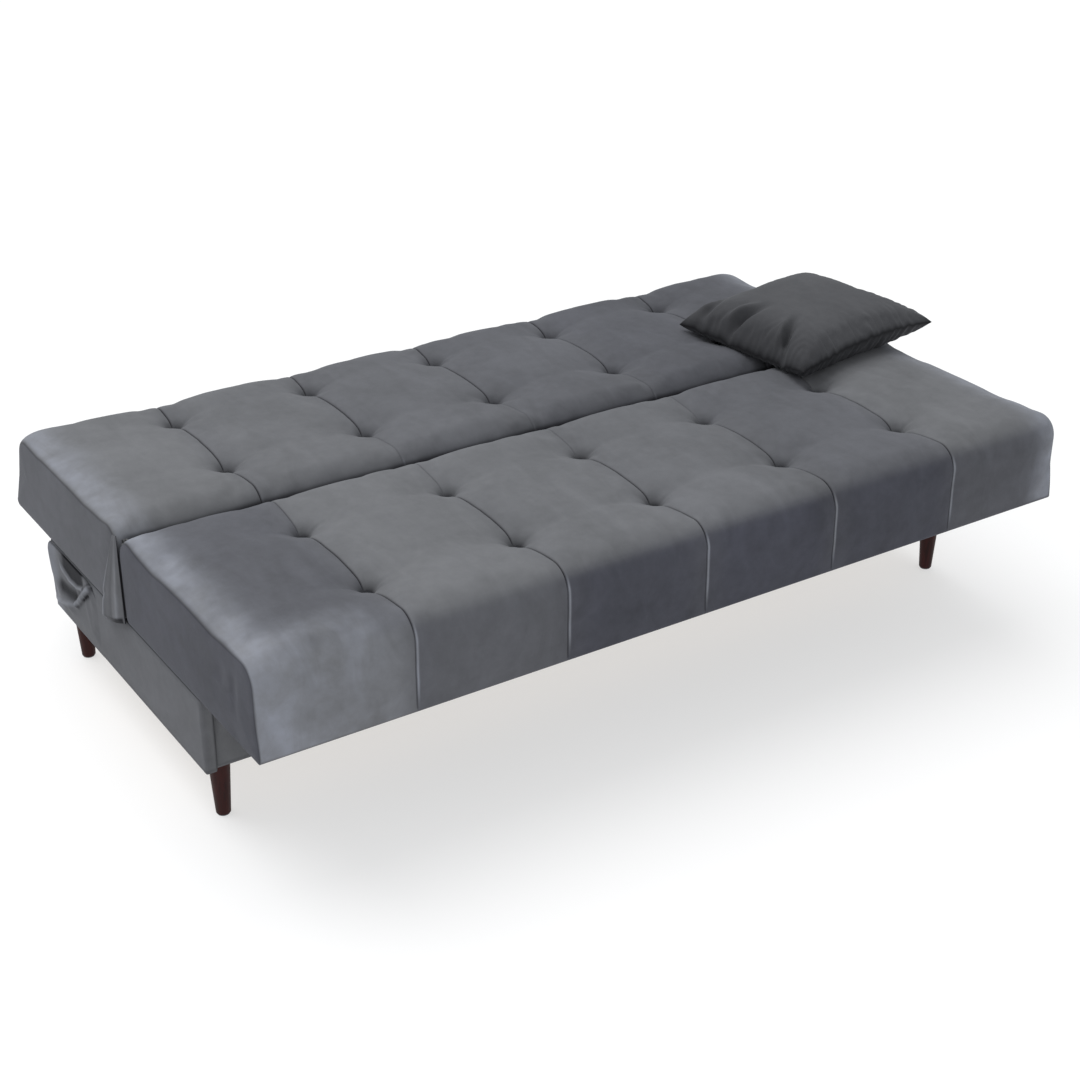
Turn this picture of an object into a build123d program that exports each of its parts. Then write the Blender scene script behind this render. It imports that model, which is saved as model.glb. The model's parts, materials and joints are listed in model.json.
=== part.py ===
from build123d import *
from math import atan2, tan
import os

# Upholstered click-clack sofa bed, unfolded flat, in millimetres.
# X runs along the length, -Y is the front, +Z is up.
# The shapes are drawn about the middle of the bed. Each is then moved along X, so that
# the origin is on the floor under the middle of the whole object, pillow included.

# --- overall sizes ---------------------------------------------------------
SLAB_HALF_LENGTH = 895.0      # seat and backrest, centre to end
BED_HALF_DEPTH = 570.0        # unfolded bed, centre to front or rear edge
BED_SHIFT = -26.073           # the bed's middle, from the middle of the whole object
SLAB_BOTTOM = 274.0
SLAB_TOP = 455.0
CREASE_Y = -9.0               # middle of the gap between seat and backrest
CREASE_GAP = 8.0
PIVOT_Z = 420.0               # recline axis, at CREASE_Y
RECLINE_LEAN = 65.0           # how far the backrest's rear face leans in at its top

COVER_THICKNESS = 2.0
COVER_REACH = 30.0            # how far the cover folds under the front and rear edges
FOAM_INSET = 2.5              # foam stands this far inside the outer surface
FOAM_BOTTOM = 337.0
FRONT_TOP_RADIUS = 42.0
CREASE_TOP_RADIUS = 50.0
BOTTOM_RADIUS = 10.0
END_TOP_RADIUS = 36.0

BUTTON_PITCH = 302.0
BUTTON_COLUMNS = 5
SEAT_BUTTON_ROWS = (-406.0, -164.0)
BACK_BUTTON_ROWS = (158.0, 405.0)
BUTTON_RADIUS = 11.0
BUTTON_BASE_Z = 428.0
BUTTON_HEIGHT = 5.0
BUTTON_DOME = 4.0
DIMPLE_BOTTOM_RADIUS = 13.0
DIMPLE_TOP_RADIUS = 34.0

# --- slab frames -----------------------------------------------------------
RAIL_THICKNESS = 22.0
RAIL_BOTTOM = 278.0
RAIL_TOP = 334.0
SEAT_END_RAIL_X = 872.0       # outer face of the seat's end rails
BACK_END_RAIL_X = 877.0       # outer face of the backrest's end rails
SEAT_FRAME_Y = (-562.0, -23.0)
BACK_FRAME_Y = (5.0, 541.0)
CROSS_RAIL_X = 290.0
WEBBING_COUNT = 11
WEBBING_WIDTH = 70.0
WEBBING_THICKNESS = 1.6
POCKET_X = 866.0              # the hinge pockets run from here to the slab's end
POCKET_REACH = 44.0           # pocket depth each side of the crease
POCKET_TOP = 440.0

# --- chest -----------------------------------------------------------------
CHEST_HALF_LENGTH = 890.0
CHEST_FRONT = -324.0
CHEST_REAR = 400.0
CHEST_BOTTOM = 116.0
CHEST_TOP = 266.0
CHEST_SKIN = 2.0
BOARD = 18.0
FRONT_BOARD = 14.0
FRONT_RECESS = 10.0           # the front board stands this far behind the side panels
CHEST_CORNER_RADIUS = 6.0
REAR_BOARD_TOP = 256.0
GATHER_STAND = 11.0           # how far the bunched fabric stands off the chest's end
GATHER_OUTLINE = ((172, 240), (190, 254), (300, 236), (385, 150), (300, 150), (235, 180))
BOTTOM_PANEL = 6.0
BLOCK_SIZE = 55.0
BLOCK_HEIGHT = 60.0

# --- legs ------------------------------------------------------------------
LEG_X = 850.0
LEG_Y = (-286.0, 368.0)
LEG_TOP_RADIUS = 20.0
LEG_BOTTOM_RADIUS = 13.5
GLIDE_HEIGHT = 3.0
LEG_PLATE = 2.0
LEG_BOLT_RADIUS = 4.0
LEG_BOLT_LENGTH = 60.0

# --- lifting frame ---------------------------------------------------------
TUBE = 25.0
TUBE_WALL = 2.0
LIFT_TUBE_X = 866.0           # outer face of the side tubes
LIFT_FRAME_Y = (-296.0, 372.0)
LIFT_TUBE_BOTTOM = 240.0
LIFT_AXIS_Y = 389.0
LIFT_AXIS_Z = 262.0
LIFT_HINGE_X = 640.0
LIFT_HINGE_WIDTH = 60.0
LIFT_BARREL_RADIUS = 5.0
LIFT_PIN_RADIUS = 2.5
PAD_RADIUS = 12.0
PAD_TOP = 273.4
CHANNEL_WIDTH = 24.0
CHANNEL_WALL = 2.0
CHANNEL_BOTTOM = 244.0
CHANNEL_TOP = 268.0
CHANNEL_SLOT = 10.0
RUNNER_Y = (-262.0, -46.0)

# --- click-clack hinge -----------------------------------------------------
PLATE = 4.0
SEAT_PLATE_X = 872.0          # inner face of the seat arm
BACK_PLATE_X = 877.0          # inner face of the backrest arm
BOSS_RADIUS = 16.0
PIN_RADIUS = 6.0
PIN_CLEARANCE = 0.06
ARM_WIDTH = 26.0
ARM_FOOT_HEIGHT = 30.0
ARM_FOOT_LENGTH = 100.0
ARM_FOOT_Z = 306.0
ARM_SCREW_RADIUS = 3.2
NOTCH_COUNT = 9               # one notch for each step of the recline
NOTCH_RADIUS = 2.2
NOTCH_START = 100.0
NOTCH_SWEEP = 144.0
FLAP_THICKNESS = 9.0
FLAP_FRONT_Z = 270.0          # the flap's front bottom corner
FLAP_HEM_REAR = (92.0, 238.0)
FLAP_FOLD_TOP = (82.0, 300.0)

# --- loose pillow ----------------------------------------------------------
PILLOW_X = 743.0
PILLOW_Y = 48.0
PILLOW_SIDE = 400.0
PILLOW_TURN = 4.5
PILLOW_BOTTOM = 456.0
PILLOW_SEAM = 478.0
PILLOW_TOP = 562.0
PILLOW_SKIN = 2.0
PILLOW_SHOULDER_Z = 530.0
PILLOW_SHOULDER_IN = 90.0     # how much narrower the pillow is at its shoulder and its base
PILLOW_CROWN_IN = 230.0
PILLOW_ROUND = 60.0
PILLOW_POINT_RADIUS = 12.0

SEAT_REAR = CREASE_Y - CREASE_GAP / 2
BACK_FRONT = CREASE_Y + CREASE_GAP / 2
# The backrest's rear bottom corner is sharper than a right angle, so its rounded
# edge stops short of the corner by this much.
REAR_CORNER = atan2(SLAB_TOP - SLAB_BOTTOM, RECLINE_LEAN)
BACK_REAR = BED_HALF_DEPTH + BOTTOM_RADIUS / tan(REAR_CORNER / 2) - BOTTOM_RADIUS
LIFT_TUBE_TOP = LIFT_TUBE_BOTTOM + TUBE
CHANNEL_X = LIFT_TUBE_X - TUBE - CHANNEL_WIDTH / 2
SIDES = (("left", -1), ("right", 1))


def save(part, name):
    """Move a finished piece to its place, label it and write it as its own node."""
    placed = part.moved(Location((BED_SHIFT, 0, 0)))
    placed.label = name
    export_step(placed, f"parts/{name}.step")


def box_between(low, high):
    """A plain box from its two corners, for placing with add()."""
    size = [b - a for a, b in zip(low, high)]
    middle = [(a + b) / 2 for a, b in zip(low, high)]
    return Pos(*middle) * Box(*size, mode=Mode.PRIVATE)


def block(name, low, high, edge=0.0):
    """A board, rail or pad from its two corners, its long edges eased."""
    with BuildPart() as piece:
        add(box_between(low, high))
        if edge:
            size = [b - a for a, b in zip(low, high)]
            longest = (Axis.X, Axis.Y, Axis.Z)[size.index(max(size))]
            fillet(piece.edges().filter_by(longest), edge)
    save(piece.part, name)


def group(name, pairs):
    """Several equal solids that share one node."""
    with BuildPart() as piece:
        for low, high in pairs:
            add(box_between(low, high))
    save(piece.part, name)


def mirrored(side, low, high):
    """The two corners of a box at the right-hand end, moved to either end."""
    if side > 0:
        return low, high
    return (-high[0], low[1], low[2]), (-low[0], high[1], high[2])


# --- seat and backrest slabs ----------------------------------------------
def slab_solid(inset, front, rear, lean, front_radius, rear_radius):
    """The whole slab a given distance inside its surface, rounded over at its top ends."""
    half = SLAB_HALF_LENGTH - inset
    bottom = SLAB_BOTTOM + inset
    top = SLAB_TOP - inset
    with BuildPart() as slab:
        with BuildSketch(Plane.YZ.offset(-half)) as outline:
            with BuildLine():
                Polyline((front + inset, bottom), (rear - inset, bottom),
                         (rear - lean - inset, top), (front + inset, top), close=True)
            make_face()
            fillet(outline.vertices().group_by(Axis.Y)[0], BOTTOM_RADIUS - inset)
            fillet(outline.vertices().group_by(Axis.Y)[-1].sort_by(Axis.X)[0], front_radius - inset)
            fillet(outline.vertices().group_by(Axis.Y)[-1].sort_by(Axis.X)[-1], rear_radius - inset)
        extrude(amount=2 * half)
        with BuildSketch(Plane.XZ.offset(-rear - 1)) as side_view:
            with Locations((0, (bottom + top) / 2)):
                Rectangle(2 * half, top - bottom)
            fillet(side_view.vertices().group_by(Axis.Y)[-1], END_TOP_RADIUS - inset)
        extrude(amount=rear - front + 2, mode=Mode.INTERSECT)
    return slab.part


def button_places(rows):
    """The middle of each button, on the floor plane."""
    first = -BUTTON_PITCH * (BUTTON_COLUMNS - 1) / 2
    return [(first + column * BUTTON_PITCH, row) for row in rows for column in range(BUTTON_COLUMNS)]


def cut_dimples(rows, bottom_z):
    """Pull a cone out of the top surface at every button."""
    depth = SLAB_TOP - bottom_z
    with Locations(*[(x, y, bottom_z + depth / 2) for x, y in button_places(rows)]):
        Cone(DIMPLE_BOTTOM_RADIUS, DIMPLE_TOP_RADIUS, depth, mode=Mode.SUBTRACT)


def cut_pockets(front, rear):
    """Open both ends of the slab beside the crease, where the hinge arms stand."""
    for side in (-1, 1):
        low, high = mirrored(side, (POCKET_X, front, SLAB_BOTTOM - 1),
                             (SLAB_HALF_LENGTH + 1, rear, POCKET_TOP))
        add(box_between(low, high), mode=Mode.SUBTRACT)


def make_slab(name, front, rear, lean, front_radius, rear_radius, rows, pocket, frame_y):
    """Cover, foam, webbing, dust cloth and buttons of one slab."""
    shape = (front, rear, lean, front_radius, rear_radius)
    outer = slab_solid(0.0, *shape)
    lining = slab_solid(COVER_THICKNESS, *shape)
    filling = slab_solid(FOAM_INSET, *shape)
    with BuildPart() as cover:
        add(outer)
        add(lining, mode=Mode.SUBTRACT)
        low = (1 - POCKET_X, front + COVER_REACH, SLAB_BOTTOM - 1)
        high = (POCKET_X - 1, rear - COVER_REACH, SLAB_BOTTOM + COVER_THICKNESS + 1)
        add(box_between(low, high), mode=Mode.SUBTRACT)
        cut_dimples(rows, BUTTON_BASE_Z)
        cut_pockets(*pocket)
    save(cover.part, f"{name}_cover")

    with BuildPart() as foam:
        add(filling)
        low = (-SLAB_HALF_LENGTH, front - 1, SLAB_BOTTOM - 1)
        high = (SLAB_HALF_LENGTH, rear + 1, FOAM_BOTTOM)
        add(box_between(low, high), mode=Mode.SUBTRACT)
        cut_dimples(rows, BUTTON_BASE_Z - 1.0)
        cut_pockets(*pocket)
    save(foam.part, f"{name}_foam")

    with BuildPart() as buttons:
        with BuildSketch(Plane.XY.offset(BUTTON_BASE_Z)):
            with Locations(*button_places(rows)):
                Circle(BUTTON_RADIUS)
        extrude(amount=BUTTON_HEIGHT)
        fillet(buttons.edges().group_by(Axis.Z)[-1], BUTTON_DOME)
    save(buttons.part, f"{name}_buttons")

    inner = (frame_y[0] + RAIL_THICKNESS, frame_y[1] - RAIL_THICKNESS)
    pitch = 2 * (SEAT_END_RAIL_X - RAIL_THICKNESS) / WEBBING_COUNT
    straps = []
    for index in range(WEBBING_COUNT):
        middle = (index - (WEBBING_COUNT - 1) / 2) * pitch
        low = (middle - WEBBING_WIDTH / 2, frame_y[0] + 4, RAIL_TOP)
        high = (middle + WEBBING_WIDTH / 2, frame_y[1] - 4, RAIL_TOP + WEBBING_THICKNESS)
        straps.append((low, high))
    group(f"{name}_webbing", straps)

    cloth_x = CHANNEL_X - CHANNEL_WIDTH / 2
    block(f"{name}_dust_cloth", (-cloth_x, front + COVER_REACH + 1, RAIL_BOTTOM - 2.5),
          (cloth_x, rear - COVER_REACH - 1, RAIL_BOTTOM - 1.5))
    return inner


def make_frame(name, frame_y, end_x, inner):
    """The wooden frame inside one slab, rail by rail."""
    end_inner = end_x - RAIL_THICKNESS
    front_low = (-end_inner, frame_y[0], RAIL_BOTTOM)
    front_high = (end_inner, inner[0], RAIL_TOP)
    block(f"{name}_front_rail", front_low, front_high, 2.0)
    block(f"{name}_rear_rail", (-end_inner, inner[1], RAIL_BOTTOM), (end_inner, frame_y[1], RAIL_TOP), 2.0)
    for word, side in SIDES:
        low, high = mirrored(side, (end_inner, frame_y[0], RAIL_BOTTOM), (end_x, frame_y[1], RAIL_TOP))
        block(f"{name}_end_rail_{word}", low, high, 2.0)
    cross = []
    for x in (-CROSS_RAIL_X, CROSS_RAIL_X):
        low = (x - RAIL_THICKNESS / 2, inner[0], RAIL_BOTTOM)
        cross.append((low, (x + RAIL_THICKNESS / 2, inner[1], RAIL_TOP - 4)))
    group(f"{name}_cross_rails", cross)


# --- chest and legs --------------------------------------------------------
def make_chest():
    """The storage box: boards, corner blocks, ledges and its fabric skin."""
    outer_x = CHEST_HALF_LENGTH - CHEST_SKIN
    inner_x = outer_x - BOARD
    front = CHEST_FRONT + CHEST_SKIN
    rear = CHEST_REAR - CHEST_SKIN
    bottom = CHEST_BOTTOM + LEG_PLATE
    top = CHEST_TOP - CHEST_SKIN
    floor_z = bottom + BOTTOM_PANEL
    recess = front + FRONT_RECESS
    inner_y = recess + FRONT_BOARD
    for word, side in SIDES:
        block(f"chest_side_{word}", *mirrored(side, (inner_x, front, bottom), (outer_x, rear, top)), 1.5)
    block("chest_front", (-inner_x, recess, bottom), (inner_x, inner_y, top), 1.5)
    block("chest_rear", (-inner_x, rear - BOARD, bottom), (inner_x, rear, REAR_BOARD_TOP), 1.5)
    with BuildPart() as floor_panel:
        add(box_between((-inner_x, inner_y, bottom), (inner_x, rear - BOARD, floor_z)))
        with Locations(*[(x, y, bottom) for x, y in leg_places()]):
            Cylinder(LEG_BOLT_RADIUS, BOTTOM_PANEL, mode=Mode.SUBTRACT,
                     align=(Align.CENTER, Align.CENTER, Align.MIN))
    save(floor_panel.part, "chest_floor")

    battens = []
    for x in (-CROSS_RAIL_X, CROSS_RAIL_X):
        battens.append(((x - BOARD, inner_y, floor_z), (x + BOARD, rear - BOARD, floor_z + BOARD)))
    group("chest_floor_battens", battens)

    corners = []
    for side in (-1, 1):
        for low_y in (inner_y, rear - BOARD - BLOCK_SIZE):
            low = (inner_x - BLOCK_SIZE, low_y, floor_z)
            high = (inner_x, low_y + BLOCK_SIZE, floor_z + BLOCK_HEIGHT)
            corners.append(mirrored(side, low, high))
    with BuildPart() as blocks:
        for low, high in corners:
            add(box_between(low, high))
        with Locations(*[(x, y, floor_z) for x, y in leg_places()]):
            Cylinder(LEG_BOLT_RADIUS, LEG_BOLT_LENGTH, mode=Mode.SUBTRACT,
                     align=(Align.CENTER, Align.CENTER, Align.MIN))
    save(blocks.part, "chest_corner_blocks")

    ledge_top = LIFT_TUBE_BOTTOM - 0.3
    ledges = []
    for side in (-1, 1):
        low = (inner_x - TUBE, LIFT_FRAME_Y[0], ledge_top - TUBE)
        ledges.append(mirrored(side, low, (inner_x, LIFT_FRAME_Y[1], ledge_top)))
    group("chest_ledges", ledges)

    with BuildPart() as skin:
        add(box_between((-CHEST_HALF_LENGTH, CHEST_FRONT, CHEST_BOTTOM),
                        (CHEST_HALF_LENGTH, CHEST_REAR, CHEST_TOP)))
        fillet(skin.edges().filter_by(Axis.Z), CHEST_CORNER_RADIUS)
        add(box_between((CHEST_SKIN - inner_x, CHEST_FRONT - 1, CHEST_BOTTOM - 1),
                        (inner_x - CHEST_SKIN, recess - CHEST_SKIN, CHEST_TOP + 1)), mode=Mode.SUBTRACT)
        add(box_between((-outer_x, recess, CHEST_BOTTOM - 1), (outer_x, rear, CHEST_TOP + 1)),
            mode=Mode.SUBTRACT)
        for side in (-1, 1):
            low, high = mirrored(side, (inner_x, front, CHEST_BOTTOM - 1),
                                 (outer_x, recess + 1, CHEST_TOP + 1))
            add(box_between(low, high), mode=Mode.SUBTRACT)
        add(box_between((-outer_x, rear - 1, REAR_BOARD_TOP), (outer_x, CHEST_REAR + 1, CHEST_TOP + 1)),
            mode=Mode.SUBTRACT)
    save(skin.part, "chest_fabric")

    for word, side in SIDES:
        make_gather(word, side)


def make_gather(word, side):
    """The loose fabric bunched at the chest's rear top corner, as one soft wedge."""
    with BuildPart() as gather:
        with BuildSketch(Plane.YZ.offset(side * (CHEST_HALF_LENGTH + 0.3))):
            with BuildLine():
                Polyline(*GATHER_OUTLINE, close=True)
            make_face()
        extrude(amount=side * GATHER_STAND)
        fillet(gather.faces().sort_by(Axis.X)[-1 if side > 0 else 0].edges(), 3.0)
    save(gather.part, f"chest_gather_{word}")


def leg_places():
    """The middle of each leg, on the floor."""
    return [(side * LEG_X, y) for side in (-1, 1) for y in LEG_Y]


def make_legs():
    """Four turned wooden legs, their glides, top plates and bolts."""
    names = {(-1, 0): "leg_front_left", (-1, 1): "leg_rear_left",
             (1, 0): "leg_front_right", (1, 1): "leg_rear_right"}
    height = CHEST_BOTTOM - GLIDE_HEIGHT
    for (side, row), name in names.items():
        place = (side * LEG_X, LEG_Y[row])
        with BuildPart() as leg:
            with Locations((*place, GLIDE_HEIGHT)):
                Cone(LEG_BOTTOM_RADIUS, LEG_TOP_RADIUS, height, align=(Align.CENTER, Align.CENTER, Align.MIN))
            fillet(leg.edges().group_by(Axis.Z)[0], 1.5)
            with Locations((*place, CHEST_BOTTOM - LEG_BOLT_LENGTH / 2)):
                Cylinder(LEG_BOLT_RADIUS, LEG_BOLT_LENGTH / 2 + 1, mode=Mode.SUBTRACT,
                         align=(Align.CENTER, Align.CENTER, Align.MIN))
        save(leg.part, name)

    with BuildPart() as glides:
        with Locations(*[(x, y, 0) for x, y in leg_places()]):
            Cylinder(LEG_BOTTOM_RADIUS - 2, GLIDE_HEIGHT, align=(Align.CENTER, Align.CENTER, Align.MIN))
        fillet(glides.edges().group_by(Axis.Z)[0], 1.0)
    save(glides.part, "leg_glides")

    with BuildPart() as plates:
        with BuildSketch(Plane.XY.offset(CHEST_BOTTOM)):
            with Locations(*leg_places()):
                RectangleRounded(52, 52, 6)
                Circle(LEG_BOLT_RADIUS, mode=Mode.SUBTRACT)
        extrude(amount=LEG_PLATE)
    save(plates.part, "leg_plates")

    with BuildPart() as bolts:
        with Locations(*[(x, y, CHEST_BOTTOM - LEG_BOLT_LENGTH / 2) for x, y in leg_places()]):
            Cylinder(LEG_BOLT_RADIUS, LEG_BOLT_LENGTH, align=(Align.CENTER, Align.CENTER, Align.MIN))
        chamfer(bolts.edges().group_by(Axis.Z)[-1], 1.0)
    save(bolts.part, "leg_bolts")


# --- lifting frame ---------------------------------------------------------
def make_tube(name, low, high, along):
    """A square steel tube with rounded outer edges, open at its ends."""
    grow = [0.0 if axis == along else TUBE_WALL for axis in range(3)]
    inner_low = [a + g if g else a - 1 for a, g in zip(low, grow)]
    inner_high = [b - g if g else b + 1 for b, g in zip(high, grow)]
    with BuildPart() as tube:
        add(box_between(low, high))
        fillet(tube.edges().filter_by((Axis.X, Axis.Y)[along]), 3.0)
        add(box_between(inner_low, inner_high), mode=Mode.SUBTRACT)
    save(tube.part, name)


def make_lift_frame():
    """The steel frame that carries the slabs and hinges up at the rear."""
    inner_x = LIFT_TUBE_X - TUBE
    for word, side in SIDES:
        low, high = mirrored(side, (inner_x, LIFT_FRAME_Y[0], LIFT_TUBE_BOTTOM),
                             (LIFT_TUBE_X, LIFT_FRAME_Y[1], LIFT_TUBE_TOP))
        make_tube(f"lift_side_tube_{word}", low, high, 1)
    make_tube("lift_front_tube", (-inner_x, LIFT_FRAME_Y[0], LIFT_TUBE_BOTTOM),
              (inner_x, LIFT_FRAME_Y[0] + TUBE, LIFT_TUBE_TOP), 0)
    make_tube("lift_rear_tube", (-inner_x, LIFT_FRAME_Y[1] - TUBE, LIFT_TUBE_BOTTOM),
              (inner_x, LIFT_FRAME_Y[1], LIFT_TUBE_TOP), 0)
    pad_rows = (LIFT_FRAME_Y[0] + TUBE / 2, LIFT_FRAME_Y[1] - TUBE / 2)
    with BuildPart() as pads:
        with Locations(*[(x, y, LIFT_TUBE_TOP) for x in (-500, 0, 500) for y in pad_rows]):
            Cylinder(PAD_RADIUS, PAD_TOP - LIFT_TUBE_TOP, align=(Align.CENTER, Align.CENTER, Align.MIN))
        fillet(pads.edges().group_by(Axis.Z)[-1], 3.0)
    save(pads.part, "lift_rest_pads")
    make_channels()


def make_channels():
    """The C-shaped steel channels that guide the seat as it slides."""
    half = CHANNEL_WIDTH / 2
    wall = half - CHANNEL_WALL
    slot = CHANNEL_SLOT / 2
    start = LIFT_FRAME_Y[0] + TUBE
    end = LIFT_FRAME_Y[1] - TUBE
    with BuildPart() as channels:
        for middle in (-CHANNEL_X, CHANNEL_X):
            add(box_between((middle - half, start, CHANNEL_BOTTOM), (middle + half, end, CHANNEL_TOP)))
            add(box_between((middle - wall, start - 1, CHANNEL_BOTTOM + CHANNEL_WALL),
                            (middle + wall, end + 1, CHANNEL_TOP - CHANNEL_WALL)), mode=Mode.SUBTRACT)
            add(box_between((middle - slot, start - 1, CHANNEL_TOP - CHANNEL_WALL - 1),
                            (middle + slot, end + 1, CHANNEL_TOP + 1)), mode=Mode.SUBTRACT)
    save(channels.part, "slide_channels")


def barrel(start, length):
    """One knuckle of a lift hinge, with its bore along X."""
    with BuildPart() as knuckle:
        with BuildSketch(Plane.YZ.offset(start)):
            with Locations((LIFT_AXIS_Y, LIFT_AXIS_Z)):
                Circle(LIFT_BARREL_RADIUS)
                Circle(LIFT_PIN_RADIUS + 0.05, mode=Mode.SUBTRACT)
        extrude(amount=length)
    return knuckle.part


def lift_bore(start, length):
    """The space kept for a lift hinge's pin."""
    with BuildPart() as bore:
        with BuildSketch(Plane.YZ.offset(start)):
            with Locations((LIFT_AXIS_Y, LIFT_AXIS_Z)):
                Circle(LIFT_PIN_RADIUS + 0.05)
        extrude(amount=length)
    return bore.part


def make_lift_hinges():
    """Two butt hinges between the chest's rear board and the lifting frame."""
    third = LIFT_HINGE_WIDTH / 3
    gap = 0.3
    starts = (-LIFT_HINGE_X - LIFT_HINGE_WIDTH / 2, LIFT_HINGE_X - LIFT_HINGE_WIDTH / 2)
    leaf = 2.0
    with BuildPart() as fixed:
        for start in starts:
            for low in (start, start + 2 * third + gap):
                long = third - gap
                add(box_between((low, LIFT_AXIS_Y - 8, REAR_BOARD_TOP),
                                (low + long, LIFT_AXIS_Y + 8, REAR_BOARD_TOP + leaf)))
                add(barrel(low, long))
            add(lift_bore(start - 1, LIFT_HINGE_WIDTH + 2), mode=Mode.SUBTRACT)
    save(fixed.part, "lift_hinge_fixed_leaves")

    with BuildPart() as moving:
        for start in starts:
            low = start + third
            add(box_between((low, LIFT_FRAME_Y[1] - TUBE + 2, LIFT_TUBE_TOP),
                            (low + third, LIFT_AXIS_Y, LIFT_TUBE_TOP + leaf)))
            add(barrel(low, third))
            add(lift_bore(start - 1, LIFT_HINGE_WIDTH + 2), mode=Mode.SUBTRACT)
    save(moving.part, "lift_hinge_moving_leaves")

    with BuildPart() as pins:
        for start in starts:
            with BuildSketch(Plane.YZ.offset(start - 1)):
                with Locations((LIFT_AXIS_Y, LIFT_AXIS_Z)):
                    Circle(LIFT_PIN_RADIUS)
            extrude(amount=LIFT_HINGE_WIDTH + 2)
    save(pins.part, "lift_hinge_pins")


# --- sliding runners under the seat ---------------------------------------
def make_runners():
    """A steel T-bar at each end of the seat, on nylon shoes in the channels."""
    bar_half = 6.0
    web_half = 3.0
    bar_bottom = CHANNEL_BOTTOM + 6.0
    bar_top = bar_bottom + 8.0
    shoe_half = CHANNEL_WIDTH / 2 - CHANNEL_WALL - 0.3
    shoes = []
    with BuildPart() as runners:
        for side in (-1, 1):
            middle = side * CHANNEL_X
            flange = mirrored(side, (CHANNEL_X - web_half, RUNNER_Y[0], RAIL_BOTTOM - 2),
                              (SEAT_END_RAIL_X - 10, RUNNER_Y[1], RAIL_BOTTOM))
            add(box_between((middle - bar_half, RUNNER_Y[0], bar_bottom),
                            (middle + bar_half, RUNNER_Y[1], bar_top)))
            add(box_between((middle - web_half, RUNNER_Y[0], bar_top),
                            (middle + web_half, RUNNER_Y[1], RAIL_BOTTOM)))
            add(box_between(*flange))
            for y in (RUNNER_Y[0] + 30, (RUNNER_Y[0] + RUNNER_Y[1]) / 2, RUNNER_Y[1] - 30):
                low = (middle - shoe_half, y - 20, CHANNEL_BOTTOM + CHANNEL_WALL + 0.3)
                shoes.append((low, (middle + shoe_half, y + 20, bar_bottom)))
    save(runners.part, "slide_runners")
    group("slide_shoes", shoes)


# --- click-clack hinges ----------------------------------------------------
def arm_plate(inner_x, side, foot_direction, bore_radius, notched):
    """One arm: a foot along the end rail, a slanting leg and a round boss at the pivot."""
    foot_far = CREASE_Y + foot_direction * (ARM_FOOT_LENGTH + 20)
    foot_near = CREASE_Y + foot_direction * 18
    low_z = ARM_FOOT_Z - ARM_FOOT_HEIGHT / 2
    high_z = ARM_FOOT_Z + ARM_FOOT_HEIGHT / 2
    root = foot_near + foot_direction * ARM_WIDTH
    with BuildPart() as arm:
        with BuildSketch(Plane.YZ.offset(side * inner_x)):
            with BuildLine():
                Polyline((foot_far, low_z), (foot_near, low_z), (CREASE_Y - foot_direction * 4, PIVOT_Z),
                         (CREASE_Y + foot_direction * 15, PIVOT_Z), (root, high_z), (foot_far, high_z),
                         close=True)
            make_face()
            with Locations((CREASE_Y, PIVOT_Z)):
                Circle(BOSS_RADIUS)
            if notched:
                with Locations((CREASE_Y, PIVOT_Z)):
                    with PolarLocations(BOSS_RADIUS + 0.6, NOTCH_COUNT, start_angle=NOTCH_START,
                                        angular_range=NOTCH_SWEEP):
                        Circle(NOTCH_RADIUS, mode=Mode.SUBTRACT)
            with Locations((CREASE_Y, PIVOT_Z)):
                Circle(bore_radius, mode=Mode.SUBTRACT)
            with Locations((foot_far - foot_direction * 14, ARM_FOOT_Z),
                           (root + foot_direction * 16, ARM_FOOT_Z)):
                Circle(ARM_SCREW_RADIUS, mode=Mode.SUBTRACT)
        extrude(amount=side * PLATE)
    return arm.part


def make_recline_hinges():
    """The arms, pivot pins, pawls and screws at both ends of the crease."""
    for word, side in SIDES:
        seat_arm = arm_plate(SEAT_PLATE_X, side, -1, PIN_RADIUS, False)
        save(seat_arm, f"hinge_seat_arm_{word}")
        back_arm = arm_plate(BACK_PLATE_X, side, 1, PIN_RADIUS + PIN_CLEARANCE, True)
        save(back_arm, f"hinge_back_arm_{word}")

    with BuildPart() as pins:
        for side in (-1, 1):
            with BuildSketch(Plane.YZ.offset(side * SEAT_PLATE_X)):
                with Locations((CREASE_Y, PIVOT_Z)):
                    Circle(PIN_RADIUS)
            extrude(amount=side * (BACK_PLATE_X + PLATE + 2 - SEAT_PLATE_X))
            with BuildSketch(Plane.YZ.offset(side * (BACK_PLATE_X + PLATE + 0.5))):
                with Locations((CREASE_Y, PIVOT_Z)):
                    Circle(PIN_RADIUS + 3)
            extrude(amount=side * 2)
    save(pins.part, "hinge_pins")

    with BuildPart() as pawls:
        for side in (-1, 1):
            with BuildSketch(Plane.YZ.offset(side * (SEAT_PLATE_X + PLATE))):
                with BuildLine():
                    Polyline((CREASE_Y - 17.5, PIVOT_Z + 2), (CREASE_Y - 17.5, PIVOT_Z - 3),
                             (CREASE_Y - 32, PIVOT_Z - 22), (CREASE_Y - 38, PIVOT_Z - 14), close=True)
                make_face()
            extrude(amount=side * PLATE)
    save(pawls.part, "hinge_pawls")


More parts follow.
